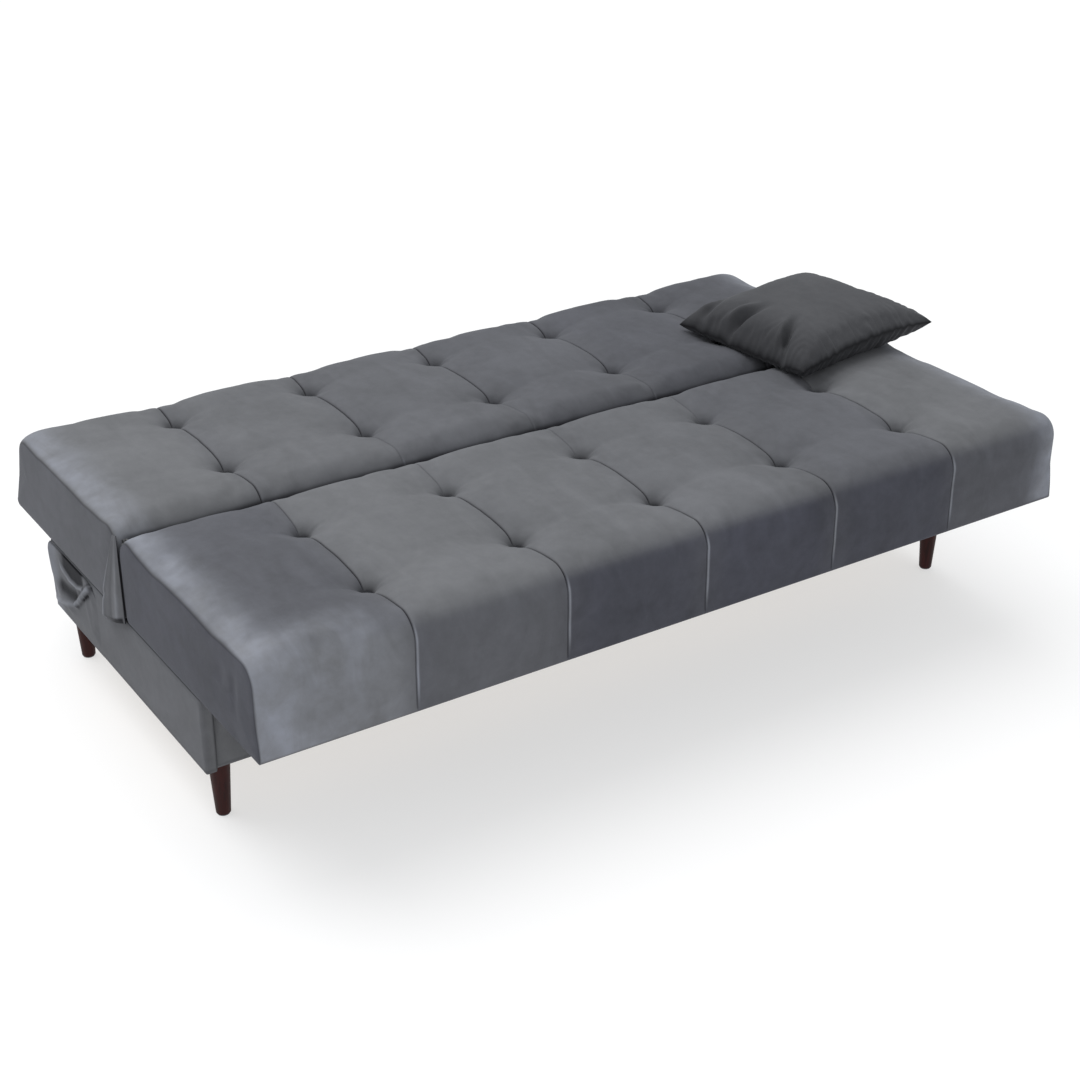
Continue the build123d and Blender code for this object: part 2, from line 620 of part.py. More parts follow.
def make_hinge_covers():
    """A fabric flap at each end that hides the hinge and hangs below the slabs."""
    inner = SLAB_HALF_LENGTH + 1.0
    outline = ((BACK_FRONT - 1, PIVOT_Z + 8), (BACK_FRONT - 3, FLAP_FRONT_Z), FLAP_HEM_REAR, FLAP_FOLD_TOP)
    for word, side in SIDES:
        with BuildPart() as flap:
            with BuildSketch(Plane.YZ.offset(side * inner)):
                with BuildLine():
                    Polyline(*outline, close=True)
                make_face()
            extrude(amount=side * FLAP_THICKNESS)
            fillet(flap.faces().sort_by(Axis.X)[-1 if side > 0 else 0].edges(), 2.5)
        save(flap.part, f"hinge_cover_{word}")


# --- loose pillow ----------------------------------------------------------
def pillow_shape(inset):
    """A knife-edged pillow, flattened underneath where it rests."""
    side = PILLOW_SIDE - 2 * inset
    turned = Rotation(0, 0, PILLOW_TURN)
    levels = ((PILLOW_BOTTOM + inset, side - PILLOW_SHOULDER_IN, PILLOW_ROUND),
              (PILLOW_SEAM, side, PILLOW_POINT_RADIUS),
              (PILLOW_SHOULDER_Z, side - PILLOW_SHOULDER_IN, PILLOW_ROUND),
              (PILLOW_TOP - inset, side - PILLOW_CROWN_IN, PILLOW_ROUND))
    with BuildPart() as pillow:
        for height, width, radius in levels:
            with BuildSketch(Plane(Pos(PILLOW_X, PILLOW_Y, height) * turned)):
                RectangleRounded(width, width, radius)
        loft(ruled=True)
    return pillow.part


def make_pillow():
    """The pillow's cover and its fibre filling."""
    outer = pillow_shape(0.0)
    lining = pillow_shape(PILLOW_SKIN)
    with BuildPart() as cover:
        add(outer)
        add(lining, mode=Mode.SUBTRACT)
    save(cover.part, "pillow_cover")
    save(pillow_shape(PILLOW_SKIN + 0.5), "pillow_filling")


def main():
    os.makedirs("parts", exist_ok=True)
    seat_pocket = (SEAT_REAR - POCKET_REACH + CREASE_GAP / 2, SEAT_REAR + 1)
    back_pocket = (BACK_FRONT - 1, BACK_FRONT + POCKET_REACH - CREASE_GAP / 2)
    seat_inner = make_slab("seat", -BED_HALF_DEPTH, SEAT_REAR, 0.0, FRONT_TOP_RADIUS, CREASE_TOP_RADIUS,
                           SEAT_BUTTON_ROWS, seat_pocket, SEAT_FRAME_Y)
    back_inner = make_slab("back", BACK_FRONT, BACK_REAR, RECLINE_LEAN, CREASE_TOP_RADIUS,
                           FRONT_TOP_RADIUS, BACK_BUTTON_ROWS, back_pocket, BACK_FRAME_Y)
    make_frame("seat", SEAT_FRAME_Y, SEAT_END_RAIL_X, seat_inner)
    make_frame("back", BACK_FRAME_Y, BACK_END_RAIL_X, back_inner)
    make_chest()
    make_legs()
    make_lift_frame()
    make_lift_hinges()
    make_runners()
    make_recline_hinges()
    make_hinge_covers()
    make_pillow()


main()
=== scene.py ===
import json
import math

import bmesh
import bpy
import numpy as np
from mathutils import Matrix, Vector, noise


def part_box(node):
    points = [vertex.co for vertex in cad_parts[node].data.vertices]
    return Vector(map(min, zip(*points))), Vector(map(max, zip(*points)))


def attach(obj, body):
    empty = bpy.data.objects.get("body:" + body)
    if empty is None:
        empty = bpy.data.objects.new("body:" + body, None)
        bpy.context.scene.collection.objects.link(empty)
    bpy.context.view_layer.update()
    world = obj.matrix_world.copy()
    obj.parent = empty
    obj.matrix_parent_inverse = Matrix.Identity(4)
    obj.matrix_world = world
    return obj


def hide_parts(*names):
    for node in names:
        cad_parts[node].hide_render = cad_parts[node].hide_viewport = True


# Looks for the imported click-clack sofa bed. Shapes are worked out in millimetres from the
# middle of the bed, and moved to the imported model's frame, in metres, when a mesh is made.

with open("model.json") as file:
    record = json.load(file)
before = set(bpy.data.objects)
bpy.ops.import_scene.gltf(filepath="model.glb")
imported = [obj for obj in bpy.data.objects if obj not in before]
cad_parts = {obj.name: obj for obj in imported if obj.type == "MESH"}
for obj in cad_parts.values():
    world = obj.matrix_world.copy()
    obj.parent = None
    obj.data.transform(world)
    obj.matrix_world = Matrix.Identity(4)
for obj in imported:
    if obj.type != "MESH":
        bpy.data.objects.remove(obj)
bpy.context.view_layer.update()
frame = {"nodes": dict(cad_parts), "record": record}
MM = 0.001
bed_low, bed_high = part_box("seat_cover")
BED_MIDDLE = np.array([(bed_low[0] + bed_high[0]) / 2, 0, 0])


def box(node):
    """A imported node's lowest and highest corners, in millimetres from the bed's middle."""
    low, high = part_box(node)
    return (np.array(low) - BED_MIDDLE) / MM, (np.array(high) - BED_MIDDLE) / MM


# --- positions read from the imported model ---
SEAT_LOW, SEAT_HIGH = box("seat_cover")
BACK_LOW, BACK_HIGH = box("back_cover")
CHEST_LOW, CHEST_HIGH = box("chest_fabric")
FRONT_BOARD_LOW = box("chest_front")[0]
SIDE_BOARD_LOW = box("chest_side_right")[0]
REAR_BOARD_HIGH = box("chest_rear")[1]
PILLOW_LOW, PILLOW_HIGH = box("pillow_cover")

BOTTOM = SEAT_LOW[2]
SLAB_TOP = SEAT_HIGH[2]
HALF_X = SEAT_HIGH[0]
CREASE_Y = (SEAT_HIGH[1] + BACK_LOW[1]) / 2
BUTTON_RADIUS = 11
BUTTON_COLUMNS = 5


def button_grid(node):
    """The columns (x) and rows (y) of a slab's buttons, and the height of their base."""
    low, high = box(node)
    columns = np.linspace(low[0] + BUTTON_RADIUS, high[0] - BUTTON_RADIUS, BUTTON_COLUMNS)
    rows = (low[1] + BUTTON_RADIUS, high[1] - BUTTON_RADIUS)
    return columns, rows, low[2]


# --- shape helpers ---
def rise(low, high, value):
    """0 at low, 1 at high, and smooth between them."""
    t = np.clip((value - low) / (high - low), 0, 1)
    return t * t * (3 - 2 * t)


def bell(value, width, power=2):
    """1 where value is 0, and falling away over about a width on either side."""
    return np.exp(-(abs(value) / width) ** power)


def soft_noise(points, scale, seed):
    """Smooth noise from -1 to 1 at each point, with features about scale millimetres across."""
    return np.array([noise.noise((x / scale + seed, y / scale - seed, z / scale + 2 * seed))
                     for x, y, z in points])


def graded(anchors, fine, growth, coarse):
    """Stations that pass through every anchor, close together there and wider between."""
    out = [anchors[0]]
    for a, b in zip(anchors, anchors[1:]):
        span = b - a
        steps = [0]
        while steps[-1] < span:
            near = min(steps[-1], span - steps[-1])
            steps.append(steps[-1] + min(fine + growth * near, coarse))
        out += list(a + np.array(steps[1:]) * span / steps[-1])
    return np.array(out)


ARC_STEPS = 24


def rounded_chain(corners, closed=False):
    """A dense 2-D polyline through corners given as (a, b, radius)."""
    points = []
    for i, (a, b, radius) in enumerate(corners):
        here = np.array([a, b], float)
        if not closed and i in (0, len(corners) - 1):
            points.append(here)
            continue
        d1 = here - corners[i - 1][:2]
        d2 = corners[(i + 1) % len(corners)][:2] - here
        d1, d2 = d1 / np.linalg.norm(d1), d2 / np.linalg.norm(d2)
        turn = math.atan2(d1[0] * d2[1] - d1[1] * d2[0], float(d1 @ d2))
        reach = radius * math.tan(abs(turn) / 2)
        start = here - d1 * reach
        arm = -math.copysign(radius, turn) * np.array([-d1[1], d1[0]])
        for k in range(ARC_STEPS + 1):
            angle = turn * k / ARC_STEPS
            c, s = math.cos(angle), math.sin(angle)
            points.append(start - arm + [c * arm[0] - s * arm[1], s * arm[0] + c * arm[1]])
    if closed:
        points.append(points[0])
    return np.array(points)


def arc_length(points):
    return np.concatenate([[0], np.cumsum(np.linalg.norm(np.diff(points, axis=0), axis=1))])


def along(points, stations):
    """Points at the given distances along a polyline, and the unit normals there."""
    length = arc_length(points)
    keep = np.concatenate([[True], np.diff(length) > 1e-9])
    points, length = points[keep], length[keep]

    def at(where):
        return np.stack([np.interp(where, length, points[:, k]) for k in range(2)], axis=1)

    tangent = at(stations + 0.7) - at(stations - 0.7)
    tangent /= np.linalg.norm(tangent, axis=1)[:, None]
    return at(stations), np.stack([tangent[:, 1], -tangent[:, 0]], axis=1)


def corner_marks(path, corners):
    """How far along a polyline it passes nearest to each corner."""
    gaps = [np.hypot(path[:, 0] - a, path[:, 1] - b) for a, b, _ in corners]
    return [arc_length(path)[np.argmin(gap)] for gap in gaps]


def thinned(marks, least):
    """The marks in order, without any that closely follows another, but with the last."""
    marks = sorted(set(marks))
    return [m for i, m in enumerate(marks) if i == 0 or m - marks[i - 1] > least or m == marks[-1]]


def add_object(name, data):
    """A new object in the scene that holds a mesh, a light or a camera."""
    item = bpy.data.objects.new(name, data)
    bpy.context.collection.objects.link(item)
    return item


def make_piece(name, points, faces, body, masks, slot="upholstery"):
    """One mesh object from millimetre points, its normals turned outwards, riding on its body."""
    mesh = bpy.data.meshes.new(name)
    mesh.from_pydata((np.asarray(points) * MM + BED_MIDDLE).tolist(), [], faces)
    for key, values in masks.items():
        layer = mesh.attributes.new(key, "FLOAT", "POINT")
        layer.data.foreach_set("value", np.asarray(values, np.float32))
    work = bmesh.new()
    work.from_mesh(mesh)
    bmesh.ops.recalc_face_normals(work, faces=work.faces)
    work.to_mesh(mesh)
    work.free()
    mesh.polygons.foreach_set("use_smooth", [True] * len(mesh.polygons))
    mesh.materials.append(SLOT_MATERIALS[slot])
    mesh.update()
    piece = add_object(name, mesh)
    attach(piece, body)
    return piece


def grid_faces(rows, columns, wrap_rows=False, wrap_columns=False):
    """Quads over a rows x columns block of points, numbered row by row."""
    faces = []
    for i in range(rows if wrap_rows else rows - 1):
        here, beyond = i * columns, (i + 1) % rows * columns
        for j in range(columns if wrap_columns else columns - 1):
            right = (j + 1) % columns
            faces.append((here + j, here + right, beyond + right, beyond + j))
    return faces


def shell(front, back, rows, columns, wrap_rows=False):
    """A thin closed sheet from two matching point grids, joined round their edges."""
    offset = len(front)
    faces = grid_faces(rows, columns, wrap_rows)
    faces += [tuple(index + offset for index in reversed(face)) for face in faces]
    edges = [(i * columns + j, (i + 1) % rows * columns + j)
             for i in range(rows if wrap_rows else rows - 1) for j in (0, columns - 1)]
    if not wrap_rows:
        edges += [(i * columns + j, i * columns + j + 1) for i in (0, rows - 1) for j in range(columns - 1)]
    faces += [(a, b, b + offset, a + offset) for a, b in edges]
    return np.vstack([front, back]), faces


# --- materials ---
class Nodes:
    """A short way to add and join shader nodes."""

    def __init__(self, name):
        self.material = bpy.data.materials.new(name)
        self.material.use_nodes = True
        self.tree = self.material.node_tree
        self.shader = self.tree.nodes["Principled BSDF"]
        self.place = self.add("ShaderNodeTexCoord").outputs["Object"]

    def feed(self, socket, value):
        """A number or colour is set on the socket itself, and an output is linked to it."""
        if isinstance(value, tuple) and socket.type == "RGBA":
            value = (*value, 1)
        if isinstance(value, (int, float, tuple)):
            socket.default_value = value
        else:
            self.tree.links.new(value, socket)

    def fill(self, node, **values):
        """Feed a node's inputs by name, with _ for a space."""
        for key, value in values.items():
            self.feed(node.inputs[key.replace("_", " ")], value)

    def add(self, kind, settings=None, **values):
        node = self.tree.nodes.new(kind)
        for key, value in (settings or {}).items():
            setattr(node, key, value)
        self.fill(node, **values)
        return node

    def stretched(self, scale):
        return self.add("ShaderNodeMapping", Vector=self.place, Scale=scale).outputs["Vector"]

    def noise(self, scale, detail=2, rough=0.5, vector=None, distortion=0):
        node = self.add("ShaderNodeTexNoise", Vector=vector or self.place, Scale=scale, Detail=detail,
                        Roughness=rough, Distortion=distortion)
        return node.outputs["Fac"]

    def yarns(self, scale, direction):
        node = self.add("ShaderNodeTexWave", {"bands_direction": direction}, Vector=self.place,
                        Scale=scale, Distortion=0.6, Detail=2)
        return node.outputs["Fac"]

    def map(self, value, out_low, out_high, low=0.3, high=0.7):
        node = self.add("ShaderNodeMapRange", Value=value, From_Min=low, From_Max=high, To_Min=out_low,
                        To_Max=out_high)
        return node.outputs["Result"]

    def math(self, operation, a, b):
        node = self.add("ShaderNodeMath", {"operation": operation})
        for socket, value in zip(node.inputs, (a, b)):
            self.feed(socket, value)
        return node.outputs[0]

    def total(self, first, *others):
        """The sum of several textures, each given with the ranges that map() takes."""
        out = self.map(*first)
        for other in others:
            out = self.math("ADD", out, self.map(*other))
        return out

    def mix(self, factor, a, b):
        """A colour mix: the node's sockets 0, 6 and 7 are the ones it uses for colours."""
        node = self.add("ShaderNodeMix", {"data_type": "RGBA"})
        for socket, value in ((0, factor), (6, a), (7, b)):
            self.feed(node.inputs[socket], value)
        return node.outputs[2]

    def attribute(self, name):
        return self.add("ShaderNodeAttribute", {"attribute_name": name}).outputs["Fac"]

    def finish(self, bumps, **values):
        """Set the shader, with bumps in a row from (height, strength, distance in metres)."""
        self.fill(self.shader, **values)
        normal = None
        for height, strength, distance in bumps:
            node = self.add("ShaderNodeBump", Strength=strength, Distance=distance, Height=height)
            if normal:
                self.feed(node.inputs["Normal"], normal)
            normal = node.outputs["Normal"]
        self.feed(self.shader.inputs["Normal"], normal)
        return self.material


def velvet(name, deep, light, shaded, painted_shadow_colour, seed):
    """Short-pile velvet: pile patches, brushed streaks, fine fibre; painted shade, painted highlight, and
    painted shadow in seams and folds.
    """
    n = Nodes(name)
    patches = n.noise(3.4, 3, 0.55, n.stretched((1 + seed, 1, 1)), 0.6)
    streaks = n.noise(15, 4, 0.6, n.stretched((1, 0.35, 0.6)), 1.2)
    mottle = n.noise(46, 3, 0.6)
    fibre = n.noise(1500, 2, 0.6)
    tone = n.total((patches, 0, 0.42), (streaks, 0, 0.38),
                   (mottle, -0.03, 0.19), (fibre, -0.07, 0.07))
    colour = n.mix(tone, deep, light)
    # painted shade: a darker, bluer shaded copy of the tone, laid on by the mask of painted shade
    against = n.mix(tone, tuple(0.50 * c for c in shaded), shaded)
    colour = n.mix(n.attribute("painted_shade"), colour, against)
    # painted highlight: a lighter, bluer copy of the light colour, laid on by the mask of painted highlight
    bloom = n.mix(tone, light, tuple(1.8 * c * t for c, t in zip(light, (0.95, 0.99, 1.10))))
    colour = n.mix(n.math("MULTIPLY", n.attribute("painted_highlight"), 0.9), colour, bloom)
    # painted shadow: near black where the mask of painted shadow is high
    colour = n.mix(n.attribute("painted_shadow"), colour, painted_shadow_colour)
    return n.finish([(streaks, 0.25, 0.0022), (mottle, 0.25, 0.0009), (fibre, 0.35, 0.00035)],
                    Base_Color=colour, Roughness=n.map(n.math("ADD", streaks, fibre), 0.72, 0.95, 0.7, 1.3),
                    Sheen_Weight=0.05, Sheen_Roughness=0.42, Sheen_Tint=(0.90, 0.93, 1),
                    Specular_IOR_Level=0.1)


def wood(name, dark, light, scale, roughness):
    """Straight-grained wood, its grain along the axis with the small scale."""
    n = Nodes(name)
    lengthwise = n.stretched(scale)
    grain = n.noise(7, 6, 0.62, lengthwise, 0.9)
    pores = n.noise(55, 3, 0.7, lengthwise)
    blotch = n.noise(6, 2)
    tone = n.total((grain, 0, 0.75, 0.32, 0.68), (pores, -0.12, 0.14, 0.35, 0.65),
                   (blotch, -0.05, 0.2))
    return n.finish([(grain, 0.15, 0.0006), (pores, 0.25, 0.0002)], Base_Color=n.mix(tone, dark, light),
                    Roughness=n.map(pores, roughness - 0.07, roughness + 0.1),
                    Specular_IOR_Level=0.18)


def metal(name, dark, light, roughness, metallic):
    """Painted or plated steel with a fine texture and scuffs."""
    n = Nodes(name)
    scuff = n.noise(24, 5, 0.65, n.stretched((1, 5, 1)), 0.8)
    grit = n.noise(700)
    rough = n.map(n.math("ADD", scuff, grit), roughness - 0.1, roughness + 0.14, 0.7, 1.3)
    return n.finish([(grit, 0.2, 0.00015), (scuff, 0.1, 0.0002)], Roughness=rough, Metallic=metallic,
                    Base_Color=n.mix(n.map(scuff, 0, 1, 0.35, 0.7), dark, light))


def plastic(name, dark, light, roughness):
    """Moulded nylon, rubber or foam with a fine matt texture."""
    n = Nodes(name)
    cloud = n.noise(40, 4)
    grit = n.noise(1100)
    return n.finish([(grit, 0.3, 0.0002), (cloud, 0.1, 0.0004)],
                    Base_Color=n.mix(n.map(cloud, 0, 1), dark, light),
                    Roughness=n.map(grit, roughness - 0.08, roughness + 0.08))


def woven(name, dark, light, pitch):
    """A plain weave: two crossing sets of yarns with small colour differences."""
    n = Nodes(name)
    weave = n.math("MAXIMUM", n.yarns(pitch, "X"), n.yarns(pitch, "Y"))
    lint = n.noise(420)
    tone = n.total((weave, 0, 0.6, 0, 1), (n.noise(9, 3), 0, 0.25),
                   (lint, -0.06, 0.12))
    return n.finish([(weave, 0.4, 0.0004), (lint, 0.2, 0.0002)], Base_Color=n.mix(tone, dark, light),
                    Roughness=n.map(weave, 0.8, 0.95, 0, 1))


GRAIN_ALONG_X, GRAIN_UPRIGHT = (1.2, 14, 14), (14, 14, 1.2)
SLOT_MATERIALS = {
    # velvet colours: deep and light tones, a darker shaded copy for painted shade, and near black for
    # painted shadow
    "upholstery": velvet("velvet_grey", (0.098, 0.100, 0.105), (0.150, 0.153, 0.161),
                         (0.055, 0.057, 0.077), (0.005, 0.005, 0.007), 0),
    "pillow_fabric": velvet("velvet_charcoal", (0.046, 0.047, 0.051), (0.078, 0.079, 0.084),
                            (0.034, 0.034, 0.038), (0.006, 0.006, 0.007), 0.37),
    "foam": plastic("foam_cream", (0.72, 0.64, 0.42), (0.86, 0.80, 0.58), 0.9),
    "fibre": plastic("polyester_fibre", (0.80, 0.80, 0.78), (0.92, 0.92, 0.90), 0.9),
    "webbing": woven("jute_webbing", (0.17, 0.14, 0.10), (0.33, 0.29, 0.22), 240),
    "dust_cloth": woven("nonwoven_black", (0.012, 0.012, 0.014), (0.034, 0.034, 0.037), 420),
    "frame_wood": wood("pine_frame", (0.47, 0.30, 0.15), (0.70, 0.52, 0.31), GRAIN_ALONG_X, 0.62),
    "chest_board": wood("chest_plywood", (0.33, 0.26, 0.19), (0.47, 0.39, 0.30), GRAIN_ALONG_X, 0.66),
    "leg_wood": wood("mahogany_stain", (0.013, 0.0022, 0.0018), (0.042, 0.006, 0.005), GRAIN_UPRIGHT, 0.5),
    "black_steel": metal("steel_black_powder", (0.022, 0.022, 0.024), (0.05, 0.05, 0.053), 0.5, 0),
    "zinc_steel": metal("steel_zinc", (0.48, 0.48, 0.47), (0.66, 0.66, 0.65), 0.36, 1),
    "nylon": plastic("nylon_black", (0.035, 0.035, 0.036), (0.07, 0.07, 0.072), 0.5),
    "rubber": plastic("rubber_black", (0.02, 0.02, 0.02), (0.045, 0.045, 0.045), 0.75),
}

node_slots = {part["node"]: part["material_slot"] for part in frame["record"]["subparts"]}
for node_name, node_object in frame["nodes"].items():
    for holder in node_object.material_slots:
        holder.material = SLOT_MATERIALS[node_slots[node_name]]


# --- tufted slabs ---
END_INSET = 3  # the top and front cloth ends this far short of the end panel
CROWN_TOP = 8  # how far each channel stands above the slab's nominal top
CROWN_FACE = 3.2
VALLEY = 1  # how far the cloth is drawn down along a seam
SEAM_DEPTH = 3.4
SEAM_WIDTH = 1.9
ROW_DIP = 5.2  # how far the cloth is drawn down along a row of buttons
PLEAT_DEPTH = 2.4  # the short pleats beside each button
END_ROLL = 46  # width of the rolled edge beside an end panel
ROLL_TOP = 13
ROLL_FACE = 12
END_BULGE = 2.4  # how far the faces in the crease swell at their ends
UNDER_STEP = 3.5  # the underside is set up this far inside the turned-in cloth
TURNED_IN = 30
BOTTOM_RADIUS = 10
CAP_RINGS = 14  # rings of points in an end panel, and its filling
CAP_FULL = 1.6
MEDIAL_PITCH = 26
CLOTH_PITCH = 13  # grid of the cloth solve
SLAB_SOLVE = (16, 3, 0.012, 5)  # its frames, pressure, slack and cap


def slab_stations(chain, path, rows):
    """Distances along a slab's wrapped cloth, close together at the bends and the button rows."""
    length = arc_length(path)
    on_top = path[:, 1] > SLAB_TOP - 0.5
    top = length[on_top]
    marks = [0, length[-1], top[0], top[-1]] + corner_marks(path, chain[1:-1])
    marks += list(np.interp(-np.array(rows), -path[on_top][:, 0], top))
    return graded(thinned(marks, 6), 2, 0.13, 13)


def nearest_line(values, lines):
    """The signed distance from each value to its nearest line, and which line that is."""
    gap = values[:, None] - np.array(lines)[None, :]
    index = np.argmin(abs(gap), axis=1)
    return gap[np.arange(len(values)), index], index


def panels(x, seams):
    """The edges of a slab's panels, and which panel each x is in."""
    edges = np.concatenate([[-HALF_X], seams, [HALF_X]])
    return edges, np.clip(np.searchsorted(edges, x) - 1, 0, len(edges) - 2)


def panel_crown(x, seams):
    """How full the stuffing stands between two seams, 0 at a seam and 1 in the middle."""
    edges, index = panels(x, seams)
    u = (x - edges[index]) / (edges[index + 1] - edges[index])
    from_middle = abs(2 * u - 1)
    slab_end = ((index == 0) & (u < 0.5)) | ((index == len(edges) - 2) & (u > 0.5))
    return 1 - np.where(slab_end, 0.72 * from_middle ** 4, from_middle ** 2.3)


def slab_offset(x, y, z, nz, seams, rows, seed, finish):
    """How far the cloth stands off the nominal slab, and its masks of painted shadow and painted highlight.
    """
    top = rise(0.15, 0.85, nz)
    face = (1 - top) * rise(-0.5, -0.1, nz)
    up = rise(BOTTOM + 6, BOTTOM + 70, z)
    crown = panel_crown(x, seams)
    dx, nearest = nearest_line(x, seams)
    dy, nearest_row = nearest_line(y, rows)
    high = top * rise(SLAB_TOP - 30, SLAB_TOP - 8, z)
    r = np.hypot(dx, dy)

    edge = np.minimum(y - y.min(), y.max() - y)
    inner = 0.38 + 0.62 * rise(25, 130, edge)
    full = CROWN_TOP * top * (0.55 + 0.45 * inner) + CROWN_FACE * face * up
    low = (2.6 * inner - full * 0.55 * (1 - inner)) * top + VALLEY * face * up
    offset = crown ** 0.8 * (full + low) - low
    # cloth drawn down along each row of buttons, most of it beside the seams, and more
    # steeply on the side towards the crease or the front
    drawn = bell(dy, np.where(dy < 0, 34, 56), 1.6) * (0.42 + 0.58 * (1 - crown) ** 1.2)
    offset -= ROW_DIP * drawn * high
    # the well round each button: a steep pit, its slope and a wide dish
    rim = np.maximum(r - 10.5, 0)
    offset -= high * (14 * bell(rim, 8.5, 1.2) + 6 * bell(rim, 26, 1.3) + 4 * bell(r, 75))
    # short pleats running out sideways from each button, and small folds round it
    pleat = bell(dy, 3.2 + 0.05 * abs(dx)) * bell(abs(dx) - 16, 24)
    offset -= high * PLEAT_DEPTH * pleat * (1 - bell(r, 13, 4))
    angle = np.arctan2(dy, dx)
    phase = 2.1 * nearest + 3.7 * nearest_row + seed
    fold = np.cos(7 * angle + phase) + 0.6 * np.cos(11 * angle - 1.7 * phase)
    offset += high * 0.28 * fold * bell(r - 28, 13)
    # the sewn seam, which between its outer row and the crease is slack and hardly shows
    toward = abs(y - CREASE_Y)
    inner_row = abs(np.array(rows) - CREASE_Y).min()
    slack = 1 - np.array(finish["tight"])[nearest]
    sewn = (1 - bell(r, 15, 4) * high) * (1 - slack * rise(20, -10, toward - inner_row))
    groove = top + 0.62 * face * rise(BOTTOM, BOTTOM + 30, z)
    offset -= SEAM_DEPTH * bell(dx, SEAM_WIDTH, 1.25) * sewn * groove
    visible = top + face * rise(BOTTOM + 2, BOTTOM + 14, z)
    # painted shadow along the seam's line, fading where the seam is slack
    line = bell(dx, 1.3) * sewn * visible * (top + 0.6 * face)
    # painted shadow in the wells round the buttons, along the crease (lighter at its ends) and along the
    # end seams
    dark_well = high * (0.92 * bell(r, 13, 5) + 0.2 * bell(r, 26))
    end = HALF_X - END_INSET - abs(x)
    crease = rise(18, 9, toward) * rise(SLAB_TOP - 11, SLAB_TOP - 21, z) * (1 - 0.8 * bell(end, 22))
    painted_shadow = np.maximum.reduce([line, dark_well, 0.9 * crease, 0.5 * bell(end, 1) * visible])
    # the roll down to the end seams: the faces in the crease stay flat to their ends
    lean = np.clip(1 - end / END_ROLL, 0, 1)
    roll = 1 - np.sqrt(np.maximum(1 - 0.985 * lean ** 2, 0))
    low_up = rise(BOTTOM - 8, BOTTOM + 95, z)
    outer = 0.15 + 0.85 * rise(30, 90, toward)
    offset -= (ROLL_TOP * top * (0.4 + 0.6 * outer) + ROLL_FACE * face * low_up * outer) * roll
    offset += END_BULGE * face * up * (1 - outer) * bell(end, 50)
    # soft unevenness of the stuffing and cloth
    points = np.stack([x, y, z], axis=1)
    calm = np.clip(r / 40, 0.2, 1) * (top + face * up)
    offset += calm * (1.6 * soft_noise(points, 130, seed) + 0.55 * soft_noise(points, 42, seed + 9))
    # painted highlight on the rolled edges, on the lit side of the front's seams and, brushed-looking, on
    # the first front panel
    cloud = 0.5 + 0.5 * soft_noise(points, 60, seed + 5) + 0.35 * soft_noise(points, 21, seed + 2)
    cloud = np.clip(cloud, 0, 1)
    band = bell(end - 16, 42) * (1 - bell(end, 4))
    painted_highlight = (0.5 + 0.6 * cloud) * band * visible * (1 + 0.3 * face)
    first = rise(seams[0] + 40, seams[0] - 160, x)
    over_front = face + top * rise(120, 15, y - SEAT_LOW[1])
    painted_highlight += finish["bloom"] * first * over_front * (0.4 + 0.7 * cloud)
    painted_highlight += 1.3 * face * up * bell(dx - 2.9, 1.8)
    return offset, np.clip(painted_shadow, 0, 1), np.clip(painted_highlight, 0, 1)


CLOTH = {"quality": 6, "mass": 0.2, "tension_stiffness": 18, "compression_stiffness": 18,
         "shear_stiffness": 6, "bending_stiffness": 0.12, "tension_damping": 10,
         "compression_damping": 10, "use_pressure": True}


def solve_cloth(points, faces, frames, pressure, slack, cap, pins=None):
    """Let Blender's cloth solver swell and wrinkle a form, no point moving further than the cap."""
    mesh = bpy.data.meshes.new("cloth_work")
    mesh.from_pydata((points * MM).tolist(), [], faces)
    cloth = add_object("cloth_work", mesh)
    solver = cloth.modifiers.new("cloth", "CLOTH")
    settings = solver.settings
    if pins is not None:
        group = cloth.vertex_groups.new(name="pins")
        for weight in np.unique(pins[pins > 0]):
            group.add(np.nonzero(pins == weight)[0].tolist(), float(weight), "REPLACE")
        settings.vertex_group_mass = "pins"
    for key, value in {**CLOTH, "uniform_pressure_force": pressure, "shrink_min": -slack}.items():
        setattr(settings, key, value)
    settings.effector_weights.gravity = 0
    solver.collision_settings.use_collision = False
    solver.collision_settings.use_self_collision = False
    solver.point_cache.frame_start = 1
    solver.point_cache.frame_end = frames
    scene = bpy.context.scene
    for step in range(1, frames + 1):
        scene.frame_set(step)
    evaluated = cloth.evaluated_get(bpy.context.evaluated_depsgraph_get())
    done = evaluated.to_mesh()
    out = np.empty(len(done.vertices) * 3)
    done.vertices.foreach_get("co", out)
    evaluated.to_mesh_clear()
    bpy.data.objects.remove(cloth)
    bpy.data.meshes.remove(mesh)
    scene.frame_set(1)
    move = out.reshape(-1, 3) / MM - points
    size = np.linalg.norm(move, axis=1)[:, None]
    return move * np.tanh(size / cap) * cap / np.maximum(size, 1e-6)


def spline_weights(place, count):
    """The four grid lines beside each place, counted in cells, and their B-spline weights."""
    cell = np.clip(np.floor(place).astype(int), 0, count - 2)
    f = place - cell
    weights = np.stack([(1 - f) ** 3, 3 * f ** 3 - 6 * f ** 2 + 4,
                        -3 * f ** 3 + 3 * f ** 2 + 3 * f + 1, f ** 3]) / 6
    return np.stack([np.clip(cell + k, 0, count - 1) for k in (-1, 0, 1, 2)]), weights


def wrap_cloth(across, stations, path, *form):
    """A grid of points on the slab's profile and on its tufted cloth, and the cloth's masks."""
    place, normal = along(path, stations)
    x = np.repeat(across, len(place))
    y, z, ny, nz = (np.tile(v, len(across)) for v in (*place.T, *normal.T))
    offset, painted_shadow, painted_highlight = slab_offset(x, y, z, nz, *form)
    return (x, y, z), np.stack([x, y + ny * offset, z + nz * offset], axis=1), painted_shadow, painted_highlight


